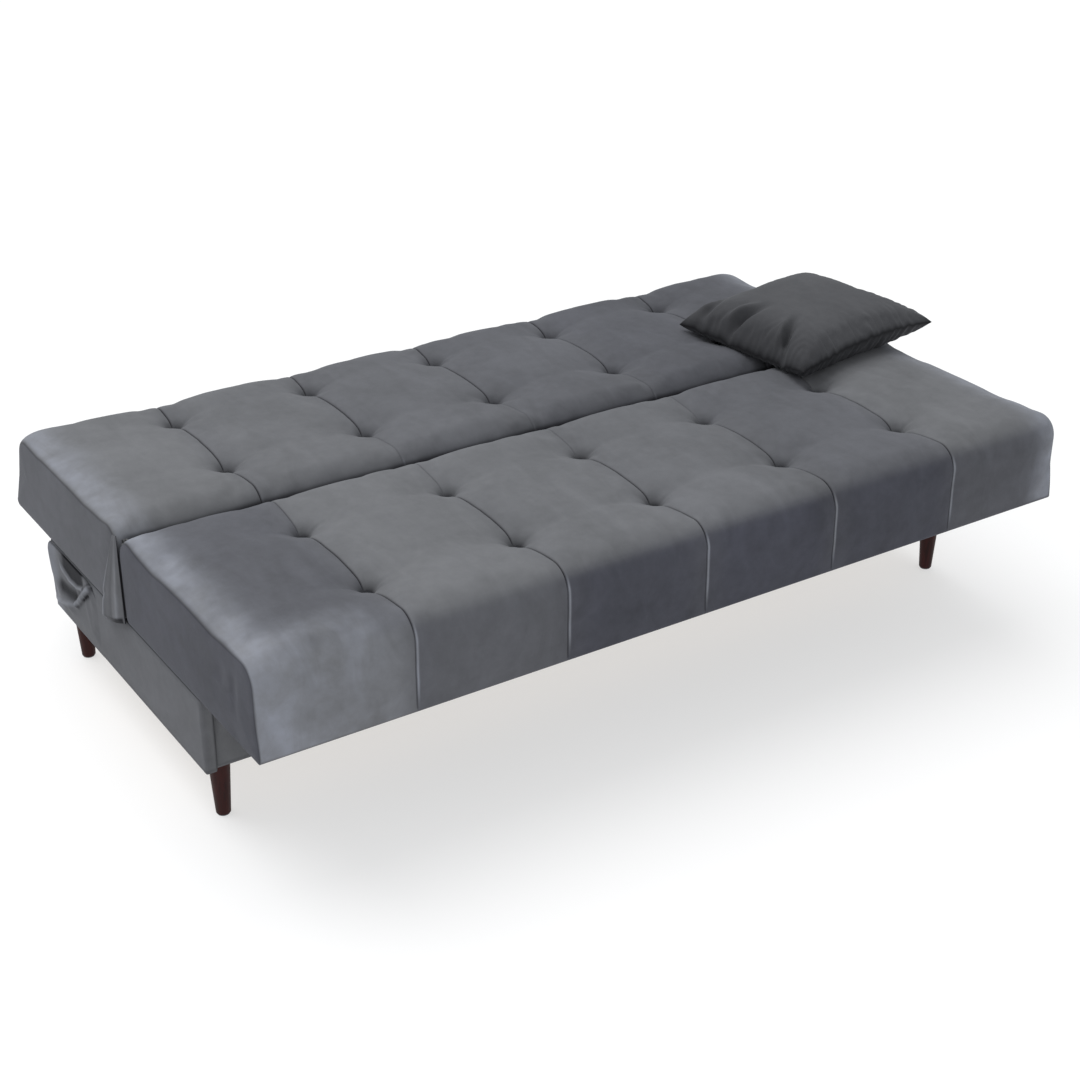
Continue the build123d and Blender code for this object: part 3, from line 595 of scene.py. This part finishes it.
def slab_swell(path, end_x, seams, rows, seed, finish):
    """How the cloth solver moves an even grid over the slab, held at seams, buttons and edges."""
    total = arc_length(path)[-1]
    across = np.linspace(-end_x, end_x, int(2 * end_x / CLOTH_PITCH) + 1)
    stations = np.linspace(0, total, int(total / CLOTH_PITCH) + 1)
    n, m = len(across), len(stations)
    (x, y, z), points, _, _ = wrap_cloth(across, stations, path, seams, rows, seed, finish)
    dx, dy = nearest_line(x, seams)[0], nearest_line(y, rows)[0]
    pins = np.where(abs(dx) < CLOTH_PITCH * 0.6, 0.75, 0)
    pins[(np.hypot(dx, dy) < 24) & (z > SLAB_TOP - 40)] = 1
    pins[(abs(x) > end_x - 1) | (z < BOTTOM + 14)] = 1
    move = solve_cloth(points, grid_faces(n, m), *SLAB_SOLVE, pins)
    return across, stations, move.reshape(n, m, 3)


def make_slab(name, chain, node, body, seed, finish):
    """One closed slab: wrapped cloth with seams and tufts, a turned-in underside and two end panels."""
    seams, rows, _ = button_grid(node)
    path = rounded_chain(chain)
    stations = slab_stations(chain, path, rows)
    end_x = HALF_X - END_INSET
    across = graded([-end_x, *seams, end_x], 1.1, 0.105, 13)
    n, m = len(across), len(stations)
    _, wrapped, painted_shadow, painted_highlight = wrap_cloth(across, stations, path, seams, rows, seed, finish)
    wrapped = wrapped.reshape(n, m, 3)
    wide, long, move = slab_swell(path, end_x, seams, rows, seed, finish)
    near_x, weight_x = spline_weights((across - wide[0]) / (wide[1] - wide[0]), len(wide))
    near_s, weight_s = spline_weights(stations / long[1], len(long))
    for a in range(4):
        for b in range(4):
            share = weight_x[a][:, None, None] * weight_s[b][None, :, None]
            wrapped += share * move[near_x[a]][:, near_s[b]]
    front_y, rear_y = chain[-1][0], chain[0][0]
    under = np.linspace(front_y, rear_y, 16)[1:-1]
    inside = rise(HALF_X - 27, HALF_X - 35, abs(across))
    below = np.stack(np.broadcast_arrays(across[:, None], under, BOTTOM + UNDER_STEP * inside[:, None]),
                     axis=2)
    ring = m + len(under)
    points = np.concatenate([wrapped, below], axis=1).reshape(-1, 3)
    painted_shadow, painted_highlight = (np.pad(mask.reshape(n, m), ((0, 0), (0, len(under)))).ravel() for mask in (painted_shadow, painted_highlight))
    faces = grid_faces(n, ring, wrap_columns=True)

    # each end panel is rings of points that run in to a line along its middle
    parts, shadow_parts = [points], [painted_shadow]
    count = len(points)
    middle_z = (BOTTOM + SLAB_TOP) / 2
    turn = (np.arange(ring) + 1) % ring
    for side, row in ((-1, 0), (1, n - 1)):
        edge = points[row * ring:(row + 1) * ring]
        low_y, high_y = edge[:, 1].min() + 95, edge[:, 1].max() - 95
        nodes = int(round((high_y - low_y) / MEDIAL_PITCH)) + 1
        share = (edge[:, 1] - low_y) / (high_y - low_y)
        index = np.clip(np.rint(share * (nodes - 1)), 0, nodes - 1).astype(int)
        target = np.stack([np.clip(edge[:, 1], low_y, high_y), np.full(ring, middle_z)], axis=1)
        previous = row * ring
        for k in range(1, CAP_RINGS):
            t = (k / CAP_RINGS) ** 1.7
            flat = edge[:, 1:] + (target - edge[:, 1:]) * t
            depth = t * np.linalg.norm(target - edge[:, 1:], axis=1)
            stand = END_INSET * (1 - np.exp(-depth / 6)) + CAP_FULL * rise(10, 70, depth)
            # soft folds that run down from the front top corner
            behind, under_top = flat[:, 0] - front_y, SLAB_TOP - flat[:, 1]
            drag = bell(behind - 34 - 0.18 * under_top, 12)
            drag += 0.6 * bell(behind - 72 - 0.35 * under_top, 16)
            stand -= finish["drag"] * drag * rise(25, 80, under_top) * rise(0, 12, depth)
            layer = np.column_stack([np.full(ring, side * end_x), flat])
            ripple = soft_noise(layer, 75, seed + 3) * rise(4, 30, depth)
            layer[:, 0] += side * (stand + ripple)
            parts.append(layer)
            # painted shadow along the end panel's edge seam
            shadow_parts.append(0.5 * bell(depth, 1.6))
            faces += [(previous + j, previous + turn[j], count + turn[j], count + j) for j in range(ring)]
            previous = count
            count += ring
        parts.append(np.column_stack([np.full(nodes, side * (end_x + END_INSET + CAP_FULL)),
                                      np.linspace(low_y, high_y, nodes), np.full(nodes, middle_z)]))
        shadow_parts.append(np.zeros(nodes))
        for j in range(ring):
            a, b = previous + j, previous + turn[j]
            ma, mb = count + index[j], count + index[turn[j]]
            faces.append((a, b, ma) if ma == mb else (a, b, mb, ma))
        count += nodes
    # painted shade, a little different in each panel, and on the faces than on the top
    edges, panel = panels(across, seams)
    settle = 0.6 + 0.4 * rise(0, 60, abs(nearest_line(across, edges)[0]))
    on_top = np.pad(rise(0.45, 0.97, along(path, stations)[1][:, 1]), (0, len(under)))
    painted_shades = [np.array(finish[key]) for key in ("top_nap", "face_nap")]
    on_top_painted_shade, on_face_painted_shade = ((v.mean() + (v[panel] - v.mean()) * settle)[:, None] for v in painted_shades)
    painted_shade = np.full(count, finish["end_nap"])
    painted_shade[:n * ring] = (on_top_painted_shade * on_top + on_face_painted_shade * (1 - on_top)).ravel()
    piece = make_piece(name, np.vstack(parts), faces, body, {
        "painted_shadow": np.concatenate(shadow_parts), "painted_highlight": np.pad(painted_highlight, (0, count - len(painted_highlight))), "painted_shade": painted_shade})
    return piece


def slab_chain(turned_from, rear_low, rear_top, front, rear_radius, front_radius):
    """A slab's profile, from under its rear over the top and down to under its front."""
    return [(turned_from - TURNED_IN, BOTTOM, 0), (rear_low, BOTTOM, BOTTOM_RADIUS),
            (rear_top, SLAB_TOP, rear_radius), (front, SLAB_TOP, front_radius),
            (front, BOTTOM, BOTTOM_RADIUS), (front + TURNED_IN, BOTTOM, 0)]


BACK_LEAN = 65  # how far the backrest's rear face leans forwards to its top
lean_turn = math.atan2(SLAB_TOP - BOTTOM, BACK_LEAN)
back_corner = BACK_HIGH[1] + BOTTOM_RADIUS / math.tan(lean_turn / 2) - BOTTOM_RADIUS
seat_chain = slab_chain(SEAT_HIGH[1], SEAT_HIGH[1], SEAT_HIGH[1], SEAT_LOW[1], 50, 46)
back_chain = slab_chain(BACK_HIGH[1], back_corner, back_corner - BACK_LEAN, BACK_LOW[1], 60, 50)
# painted shades: how much painted shade each panel's top and front face get, and the end panels. tight:
# each seam in its slack part
SEAT_FINISH = {"top_nap": (0.5, 0.03, 0.08, 0.16, 0.38, 0), "face_nap": (0, 0.42, 0.8, 0.85, 0.8, 0.5),
               "end_nap": 0.72, "bloom": 1, "drag": 3.4, "tight": (0.5, 0.35, 0.3, 0.25, 0.3)}
BACK_FINISH = {"top_nap": (0, 0.12, 0.28, 0.38, 0.5, 0.5), "face_nap": (0.2, 0.3, 0.4, 0.5, 0.5, 0.5),
               "end_nap": 0.45, "bloom": 0, "drag": 0, "tight": (1, 0.3, 0.2, 0.3, 0.3)}
seat_slab = make_slab("seat_slab", seat_chain, "seat_buttons", "seat", 1.3, SEAT_FINISH)
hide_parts("seat_cover", "seat_foam")
back_slab = make_slab("back_slab", back_chain, "back_buttons", "backrest", 5.9, BACK_FINISH)
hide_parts("back_cover", "back_foam")


BUTTON_PROFILE = ((3, 3.4), (6, 3.1), (8.6, 2.3), (10.3, 1.2), (11, -0.3), (10.6, -1.8),
                  (8.5, -3.4))     # radius and height above the base
BUTTON_SEGMENTS = 32
BUTTON_CREST, BUTTON_FOOT = 3.5, -4


def make_buttons(name, node, body):
    """Cloth-covered buttons: low domes with the cloth gathered under their rims."""
    columns, rows, base = button_grid(node)
    points, faces = [], []
    for row in rows:
        for column in columns:
            top = len(points)
            points.append((column, row, base + BUTTON_CREST))
            for k, (radius, height) in enumerate(BUTTON_PROFILE):
                for angle in 2 * math.pi * np.arange(BUTTON_SEGMENTS) / BUTTON_SEGMENTS:
                    reach = radius * (1 + 0.02 * max(k - 2, 0) / 4 * math.cos(8 * angle + column))
                    points.append((column + reach * math.cos(angle), row + reach * math.sin(angle),
                                   base + height))
            foot = len(points)
            points.append((column, row, base + BUTTON_FOOT))
            dome = grid_faces(len(BUTTON_PROFILE), BUTTON_SEGMENTS, wrap_columns=True)
            faces += [tuple(top + 1 + index for index in face) for face in dome]
            for j in range(BUTTON_SEGMENTS):
                after = (j + 1) % BUTTON_SEGMENTS
                faces += [(top, top + 1 + j, top + 1 + after),
                          (foot, foot - BUTTON_SEGMENTS + after, foot - BUTTON_SEGMENTS + j)]
    # the caps are painted near black, as painted shadow deep in their wells
    piece = make_piece(name, points, faces, body, {"painted_shadow": np.full(len(points), 0.93)})
    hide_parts(node)


make_buttons("seat_button_caps", "seat_buttons", "seat")
make_buttons("back_button_caps", "back_buttons", "backrest")


# --- chest skin ---
def make_chest_skin():
    """The velvet stapled round the chest, proud at the side panels and set back at the front."""
    x, y0, y1 = CHEST_HIGH[0], CHEST_LOW[1], CHEST_HIGH[1]
    step_x = SIDE_BOARD_LOW[0] - 2
    front_y = FRONT_BOARD_LOW[1] - 2
    outline = [(x, y1, 6), (-x, y1, 6), (-x, y0, 5), (-step_x, y0, 2), (-step_x, front_y, 1.5),
               (step_x, front_y, 1.5), (step_x, y0, 2), (x, y0, 5)]
    path = rounded_chain(outline, closed=True)
    length = arc_length(path)
    marks = thinned([0, length[-1]] + [m for m in corner_marks(path, outline) if m > 8], 5)
    place, outward = along(path, graded(marks, 1.6, 0.16, 17)[:-1])
    folded = (3, 8, 15)      # the cloth is folded in over the boards as far as this
    levels = np.array([0, 0.012, 0.035, 0.07, 0.13, 0.2, 0.28, 0.36, 0.45, 0.54, 0.63, 0.72, 0.8,
                       0.88, 0.94, 0.975, 0.995, 1])
    on_rear = (place[:, 1] > y1 - 3) & (abs(place[:, 0]) < step_x)
    top = np.where(on_rear, REAR_BOARD_HIGH[2] + 1, CHEST_HIGH[2] - 1)
    bottom = CHEST_LOW[2]
    z = bottom + (top - bottom)[:, None] * levels[None, :]
    flat = np.column_stack([np.repeat(place, len(levels), 0), z.ravel()])
    h = np.tile(levels, len(place))
    belly = np.sin(np.pi * h) ** 0.5
    wobble = 0.8 * soft_noise(flat, 90, 4) + 0.5 * soft_noise(flat, 30, 8)
    # soft diagonal pulls across the front panel, as slack velvet has
    on_front = rise(front_y + 4, front_y, flat[:, 1]) * (abs(flat[:, 0]) < step_x - 3)
    drag = np.sin((flat[:, 0] - 0.9 * flat[:, 2]) / 21 + 2.4 * soft_noise(flat, 160, 2))
    stand = belly * (0.9 + wobble) + on_front * belly * 1.5 * drag * rise(0, 0.4, 1 - h)
    rounding = -1.2 * bell(h, 0.02) - 1.2 * bell(1 - h, 0.02)
    out = np.column_stack([np.repeat(outward, len(levels), 0), np.zeros(len(flat))])
    turned = np.stack([np.column_stack([place - outward * d, top + 1.6]) for d in folded], axis=1)

    def skin(reach, drop):
        wall = (flat + out * reach[:, None]).reshape(len(place), -1, 3)
        return np.concatenate([wall, turned - np.array([0, 0, drop])], axis=1).reshape(-1, 3)

    count = len(levels) + len(folded)
    points, faces = shell(skin(stand + rounding, 0), skin(rounding - 1.5, 1), len(place), count,
                          wrap_rows=True)
    # painted shadow along the bottom edge, on the cloth folded in at the top, and in the step beside each
    # side panel
    hem = np.maximum(bell(levels - 0.035, 0.012) * 0.25, 0.5 * bell(levels, 0.008))
    hem = np.concatenate([hem, [0.6] * len(folded)])
    step = bell(abs(place[:, 0]) - step_x, 2.5) * (place[:, 1] < front_y + 9)
    dark = np.maximum(hem[None, :], 0.75 * step[:, None])
    # painted shade, a little more on the side panels than on the front
    on_side = rise(step_x + 4, x - 1, abs(place[:, 0]))
    painted_shade = np.repeat(0.06 + 0.2 * on_side, count)
    piece = make_piece("chest_skin", points, faces, "chest",
                       {"painted_shadow": np.tile(dark.ravel(), 2), "painted_shade": np.tile(painted_shade, 2)})
    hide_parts("chest_fabric")


make_chest_skin()


# --- hinge flaps ---
FLAP_FOLD = 0.62  # how far down its rear edge a flap turns out to its hem


def make_flap(name, node, side):
    """The open fabric sleeve that hangs from the backrest over the hinge, lightly folded."""
    low, high = box(node)
    wall = HALF_X + 2.2
    front_y = SEAT_HIGH[1] - 3
    front_top, front_low = np.array([front_y, high[2] + 24]), np.array([front_y, low[2] + 35])
    rear_top = np.array([front_y + 17, high[2] + 20])
    hem_rear, fold = np.array([high[1] + 1, low[2] - 1]), np.array([high[1] - 10, low[2] + 62])
    rows, columns = 64, 52
    a, b = np.repeat(np.linspace(0, 1, rows), columns), np.tile(np.linspace(0, 1, columns), rows)
    down = a[:, None]
    left = front_top + (front_low - front_top) * down
    right = np.where(down < FLAP_FOLD, rear_top + (fold - rear_top) * (down / FLAP_FOLD),
                     fold + (hem_rear - fold) * ((down - FLAP_FOLD) / (1 - FLAP_FOLD)))
    y, z = (left + (right - left) * b[:, None]).T
    z = z - 3.5 * a * np.sin(math.pi * b) ** 2
    # a broad tube, pinched at its rear fold, with its hem turned in
    tube = rise(0, 0.22, b) * (1 - rise(0.87, 1, b))
    hollow = 0.85 + 0.35 * bell(b - 0.85, 0.07) - 0.3 * bell(b - 0.52, 0.15)
    pinch = 1 - 0.35 * bell(a - 0.66, 0.05) * rise(0.5, 0.9, b)
    turned_in = 1 - 0.7 * rise(0.93, 1, a)
    stand = 0.3 + 9 * a ** 0.75 * tube * hollow * pinch * turned_in
    stand = np.maximum(stand + 0.5 * np.sin(9 * b + 4 * a) * a * tube, 0)
    # painted shadow in the mouth, the hollow and along the slit, and painted highlight on the two folds
    mouth = rise(0.925, 0.95, a) * rise(0.02, 0.1, b) * rise(0.95, 0.3, b)
    slit = 0.95 * bell(b, 0.025) * rise(0.05, 0.3, a)
    dark = np.maximum.reduce([0.3 * bell(b - 0.54, 0.08) * a, 0.97 * mouth, slit])
    shine = rise(0.1, 0.5, a) * (0.9 * bell(b - 0.86, 0.035) + 0.5 * bell(b - 0.24, 0.08))
    front = np.column_stack([side * (wall + stand), y, z])
    points, faces = shell(front, front - [side * 1.6, 0, 0], rows, columns)
    # the inner layer is painted dark as painted shadow, and the whole flap has a little painted shade
    piece = make_piece(name, points, faces, "backrest", {
        "painted_shadow": np.concatenate([dark, np.full(len(dark), 0.9)]),
        "painted_shade": np.full(len(points), 0.3), "painted_highlight": np.tile(shine, 2)})
    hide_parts(node)


make_flap("hinge_flap_left", "hinge_cover_left", -1)
make_flap("hinge_flap_right", "hinge_cover_right", 1)


# --- bunched cloth at the chest's rear corners ---
def near_line(points, line):
    """Distance from each 2-D point to a polyline, and how far along it the nearest place is."""
    best = np.full(len(points), 1e9)
    where = np.zeros(len(points))
    line = np.array(line, float)
    run = 0
    for a, b in zip(line, line[1:]):
        d = b - a
        span = float(np.linalg.norm(d))
        t = np.clip(((points - a) @ d) / span ** 2, 0, 1)
        gap = np.linalg.norm(points - (a + t[:, None] * d), axis=1)
        closer = gap < best
        best[closer] = gap[closer]
        where[closer] = run + t[closer] * span
        run += span
    return best, where


def make_gather(name, node, side):
    """The loose cloth pulled up and twisted at the chest's rear top corner."""
    wall = CHEST_HIGH[0] + 0.4
    rear = CHEST_HIGH[1]
    rows, columns = 96, 70
    yy = np.repeat(np.linspace(150, rear - 1, rows), columns)
    low_z = CHEST_LOW[2] + 2
    high_z = np.interp(yy, [150, 172, 200, 300, 345, rear], [236, 260, 263.5, 263.5, 263.5, 262])
    zz = low_z + (high_z - low_z) * np.tile(np.linspace(0, 1, columns), rows)

    def near(*line):
        return near_line(np.stack([yy, zz], axis=1), line)

    roll, run = near((258, 188), (242, 200), (218, 222), (194, 243), (178, 255))
    knot = np.hypot(yy - 186, zz - 250)
    rim, rim_run = near((347, 246), (320, 232), (284, 224), (246, 226), (214, 238))
    low_fold = near((396, 132), (350, 150), (300, 168), (262, 182))[0]
    side_fold = near((392, 250), (378, 205), (352, 172), (300, 158))[0]
    pull_a = near((180, 244), (158, 214), (150, 190))[0]
    pull_b = near((205, 226), (196, 190), (186, 160))[0]
    pocket = near((336, 190), (300, 191), (264, 198))[0]
    hole = near((214, 218), (196, 232), (186, 238))[0]
    # the lens that the cloth's rim opens over, sunk and darkened with painted shadow
    rim_z = np.interp(yy, [214, 246, 284, 320, 347], [238, 226, 224, 232, 246])
    opening = rise(2, 8, zz - rim_z) * rise(206, 226, yy) * rise(344, 314, yy)
    stand = 3.6 + 6.2 * bell(roll, 7.5) * (1 + 0.14 * np.sin(run / 3.4 + roll / 3))
    stand += 2.6 * bell(knot, 9)
    stand += 4.2 * bell(rim, 3.6) * rise(0, 25, rim_run)
    stand += 5.5 * bell(low_fold, 8) + 4.6 * bell(side_fold, 15)
    stand += 1.3 * bell(pull_a, 8) + 1.3 * bell(pull_b, 10)
    stand -= 3 * bell(pocket, 15) + 3.5 * bell(hole, 5.5)
    stand -= 5 * opening
    edge = rise(0, 26, yy - 150) * rise(0, 9, rear - 1 - yy) * rise(0, 40, zz - low_z)
    stand = np.clip(stand, 2.4, 11.4) * edge
    # painted shadow in the pocket, the hole, the opening and beside the roll; painted highlight on the rim,
    # the roll, the low fold and along the rear
    dark = 0.95 * bell(pocket, 15, 3) + bell(hole, 6)
    dark += 0.97 * opening + 0.55 * bell(roll - 8.5, 3.5)
    dark *= (1 - bell(roll, 6, 4)) * (1 - 0.9 * bell(rim, 2.4))
    shine = bell(rim, 3) * rise(0, 25, rim_run) + 0.75 * bell(roll, 6)
    shine += 0.6 * bell(low_fold, 6) + 0.45 * rise(340, 375, yy)
    front = np.column_stack([side * (wall + stand), yy, zz])
    back = front.copy()
    back[:, 0] = side * (wall - 1.2)
    points, faces = shell(front, back, rows, columns)
    # a little painted shade over the whole gather
    piece = make_piece(name, points, faces, "chest", {
        "painted_shade": np.full(len(points), 0.25), "painted_shadow": np.tile(np.clip(dark, 0, 1) * edge ** 0.3, 2),
        "painted_highlight": np.tile(np.clip(shine, 0, 1), 2)})
    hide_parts(node)


make_gather("corner_gather_left", "chest_gather_left", -1)
make_gather("corner_gather_right", "chest_gather_right", 1)


# --- dust cloths ---
def make_dust_cloth(name, node, body):
    """The thin black cloth stapled under a slab, slack between its staples."""
    low, high = box(node)
    rows, columns = 90, 36
    x = np.repeat(np.linspace(low[0], high[0], rows), columns)
    y = np.tile(np.linspace(low[1], high[1], columns), rows)
    half, middle = (high - low) / 2, (high + low) / 2
    from_x, from_y = abs(x - middle[0]), abs(y - middle[1])
    slack = (1 - (from_x / half[0]) ** 6) * (1 - (from_y / half[1]) ** 6)
    edge = np.minimum(half[0] - from_x, half[1] - from_y)
    tug = 0.35 * np.cos((x + y) * 2 * math.pi / 60) * bell(edge, 14)
    flat = np.stack([x, y, np.full(len(x), low[2])], axis=1)
    z = high[2] - 0.3 - slack * (1.1 + 0.4 * soft_noise(flat, 120, 6)) + tug
    points, faces = shell(np.column_stack([x, y, z - 0.5]), np.column_stack([x, y, z]), rows, columns)
    piece = make_piece(name, points, faces, body, {}, "dust_cloth")
    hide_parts(node)


make_dust_cloth("seat_underlining", "seat_dust_cloth", "seat")
make_dust_cloth("back_underlining", "back_dust_cloth", "backrest")


# --- loose pillow ---
PILLOW_HALF = 200
PILLOW_TURN = math.radians(4.5)
PILLOW_CELLS = 80
PILLOW_SOLVE = (18, 4, 0.035, 9)  # the cloth solve's frames, pressure, slack and cap
PILLOW_SEAM = 478  # height of the sewn edge at the low corner
PILLOW_FILL = PILLOW_HIGH[2] - 23 - PILLOW_SEAM
PLEATS = ((-0.60, 0.45, 24), (0.26, -0.30, 26), (0.70, 0.10, 13))  # place, slant, depth


def pillow_form(u, v, upper):
    """A stuffed square with pulled-in sides and puckered edges, before the cloth solver."""
    x = PILLOW_HALF * u * (1 - 0.050 * (1 - v ** 2) * abs(u) ** 3)
    y = PILLOW_HALF * v * (1 - 0.050 * (1 - u ** 2) * abs(v) ** 3)
    flat = np.stack([x, y, np.zeros(len(x))], axis=1)
    steep = np.where(u < 0, 4.6, 2.5)      # the low side is full to its seam, then drops steeply
    full = ((1 - abs(u) ** steep) * (1 - abs(v) ** np.where(v < 0, 3.2, 2.5))) ** 0.56
    to_edge = PILLOW_HALF * (1 - np.maximum(abs(u), abs(v)))
    # puckers beside the sewn edge, stronger on the low sides and none at the corners
    beside = np.where(abs(u) > abs(v), y + 57 * np.sign(u), x - 31 * np.sign(v))
    drift = 16 * soft_noise(flat, 48, 2)
    pucker = np.cos(2 * math.pi * (beside + drift) / 21)
    pucker += 0.6 * np.cos(2 * math.pi * (beside - drift) / 33 + 1)
    strong = 0.3 + 1.5 * rise(0.1, -0.8, v) + 0.5 * rise(-0.4, -0.9, u)
    from_tip = 1 - np.exp(-((1 - abs(u)) ** 2 + (1 - abs(v)) ** 2) / 0.10)
    pucker = strong * pucker * from_tip
    gathered = pucker * np.exp(-to_edge / 26) * (1 - np.exp(-to_edge / 5))
    raised = PILLOW_FILL * full
    lift = np.where(upper, raised + 3.4 * gathered, -0.62 * raised + 3.6 * gathered)
    # two deep pleats run in from the low side, and a shallow one
    inward = u + 1
    for at, slant, depth in PLEATS:
        across = v - at - slant * inward
        pleat = bell(across, 0.05) - 0.45 * bell(across - 0.1, 0.06)
        lift -= np.where(upper, depth, 0) * pleat * bell(inward - 0.22, 0.20)
    rim_wave = 1.1 * pucker * np.exp(-to_edge / 5)
    # the near edge bows up, the low side is tucked under, and the near corner is knocked in
    bow = 17 * (1 - u ** 2) * rise(0.2, -0.9, v) - 9 * (1 - v ** 2) * rise(0, -0.9, u)
    knocked = 5 * np.exp(-((u + 1) ** 2 + (v + 1) ** 2) / 0.05)
    rim_wave += np.exp(-to_edge / 45) * (bow + knocked)
    tilt = 15 + 15 * u
    z = PILLOW_SEAM + tilt * (1 - 0.35 * full) + lift + rim_wave
    return np.column_stack([x + knocked, y + knocked, z])


def make_pillow():
    """The throw pillow, laid on the right-hand end: full crown, flattened below, right side raised."""
    n = PILLOW_CELLS
    line = np.linspace(-1, 1, n + 1)
    line = np.sign(line) * (1 - (1 - abs(line)) ** 1.15)
    # two layers of points that share the sewn edge
    place, faces, index = [], [], {}
    for layer in (1, -1):
        for i in range(n + 1):
            for j in range(n + 1):
                if layer > 0 or (0 < i < n and 0 < j < n):
                    index[i, j] = len(place)
                    place.append((line[i], line[j], layer))
        for i in range(n):
            for j in range(n):
                quad = (index[i, j], index[i + 1, j], index[i + 1, j + 1], index[i, j + 1])
                faces.append(quad if layer > 0 else quad[::-1])
    u, v, layer = np.array(place).T
    upper = layer > 0
    start = pillow_form(u, v, upper)
    start = start + solve_cloth(start, faces, *PILLOW_SOLVE)
    x, y, z = start.T
    # the underside rests on the slabs, with a soft bend where it meets them
    rest = PILLOW_LOW[2] + 6.5 + 0.8 * np.cos(x / 37) * np.cos(y / 41)
    z = np.where(upper, z, rest + 3 * np.log1p(np.exp(np.clip((z - rest) / 3, -30, 30))))
    z = np.minimum(z, PILLOW_HIGH[2] + 6)
    c, s = math.cos(PILLOW_TURN), math.sin(PILLOW_TURN)
    centre = (PILLOW_LOW + PILLOW_HIGH) / 2
    placed = np.column_stack([centre[0] + c * x - s * y, centre[1] + s * x + c * y, z])
    inset = 1 - np.maximum(abs(u), abs(v))
    tip = np.hypot(1 - abs(u), 1 - abs(v))
    # painted shadow along the sewn edge and at the tips; painted shade on the low side and along the
    # underside's near edge
    painted_shadow = np.maximum(0.8 * bell(inset, 0.012), 0.75 * bell(tip, 0.09))
    painted_shade = 0.35 * rise(-0.35, -0.9, u) + 0.35 * rise(-0.75, -1, v) * ~upper
    piece = make_piece("throw_pillow", placed, faces, "pillow", {"painted_shadow": painted_shadow, "painted_shade": np.clip(painted_shade, 0, 1)},
                       "pillow_fabric")
    smooth = piece.modifiers.new("smooth", "SUBSURF")
    smooth.levels = smooth.render_levels = 1
    with bpy.context.temp_override(object=piece, active_object=piece, selected_objects=[piece]):
        bpy.ops.object.modifier_apply(modifier="smooth")
    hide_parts("pillow_cover", "pillow_filling")


make_pillow()


# --- floor, light and camera ---
FLOOR_HALF = 30
FLOOR_GLOW = 0.57  # the floor glows a little, to come near the photograph's white
SKY_COLOUR, SKY_STRENGTH = (0.96, 0.98, 1), 0.72
SUN_STRENGTH, SUN_SOFTNESS, SUN_TURN = 1.95, 60, (-25, -4, 0)
# name, watts, side in metres, place and target from the bed's middle: a near fill on the
# front left corner, and a soft top light over the left end
PANELS = (("fill", 7, 1.4, (-1.5, -2.5, 1.1), (-0.75, -0.5, 0.35)),
          ("top_light", 8, 1.1, (-1.5, 0.4, 2.1), (-0.8, 0.2, 0.45)))
# the camera fitted to the photograph: lens in mm, place in metres, and degrees down and round
CAMERA_LENS, CAMERA_PLACE = 62.4, (-1.8807, -2.8970, 1.9684)
CAMERA_DOWN, CAMERA_ROUND = 27.32, -33.16


def make_stage():
    """A plain pale floor, a soft sky, a broad key from the upper left and two soft panels."""
    mesh = bpy.data.meshes.new("floor")
    work = bmesh.new()
    bmesh.ops.create_grid(work, x_segments=2, y_segments=2, size=FLOOR_HALF)
    work.to_mesh(mesh)
    work.free()
    n = Nodes("floor_pale")
    n.fill(n.shader, Base_Color=n.mix(n.noise(0.7), (0.37, 0.37, 0.37), (0.39, 0.39, 0.39)),
           Roughness=0.95, Specular_IOR_Level=0, Emission_Color=(1, 1, 1),
           Emission_Strength=FLOOR_GLOW)
    mesh.materials.append(n.material)
    floor = add_object("floor", mesh)

    scene = bpy.context.scene
    scene.world = bpy.data.worlds.new("studio")
    scene.world.use_nodes = True
    background = scene.world.node_tree.nodes["Background"]
    background.inputs["Color"].default_value = (*SKY_COLOUR, 1)
    background.inputs["Strength"].default_value = SKY_STRENGTH

    sun = bpy.data.lights.new("key", "SUN")
    sun.energy = SUN_STRENGTH
    sun.angle = math.radians(SUN_SOFTNESS)
    add_object("key", sun).rotation_euler = [math.radians(turn) for turn in SUN_TURN]
    for name, power, size, place, target in PANELS:
        panel = bpy.data.lights.new(name, "AREA")
        panel.energy = power
        panel.size = size
        lamp = add_object(name, panel)
        lamp.location = Vector(place) + Vector(BED_MIDDLE)
        lamp.rotation_euler = (Vector(target) - Vector(place)).to_track_quat("-Z", "Y").to_euler()

    camera_data = bpy.data.cameras.new("camera")
    camera_data.lens = CAMERA_LENS
    camera_data.sensor_width = 36
    camera_data.clip_end = 200
    camera = add_object("camera", camera_data)
    camera.location = Vector(CAMERA_PLACE) + Vector(BED_MIDDLE)
    camera.rotation_euler = (math.radians(90 - CAMERA_DOWN), 0, math.radians(CAMERA_ROUND))
    scene.camera = camera
    scene.view_settings.view_transform = "Standard"


make_stage()
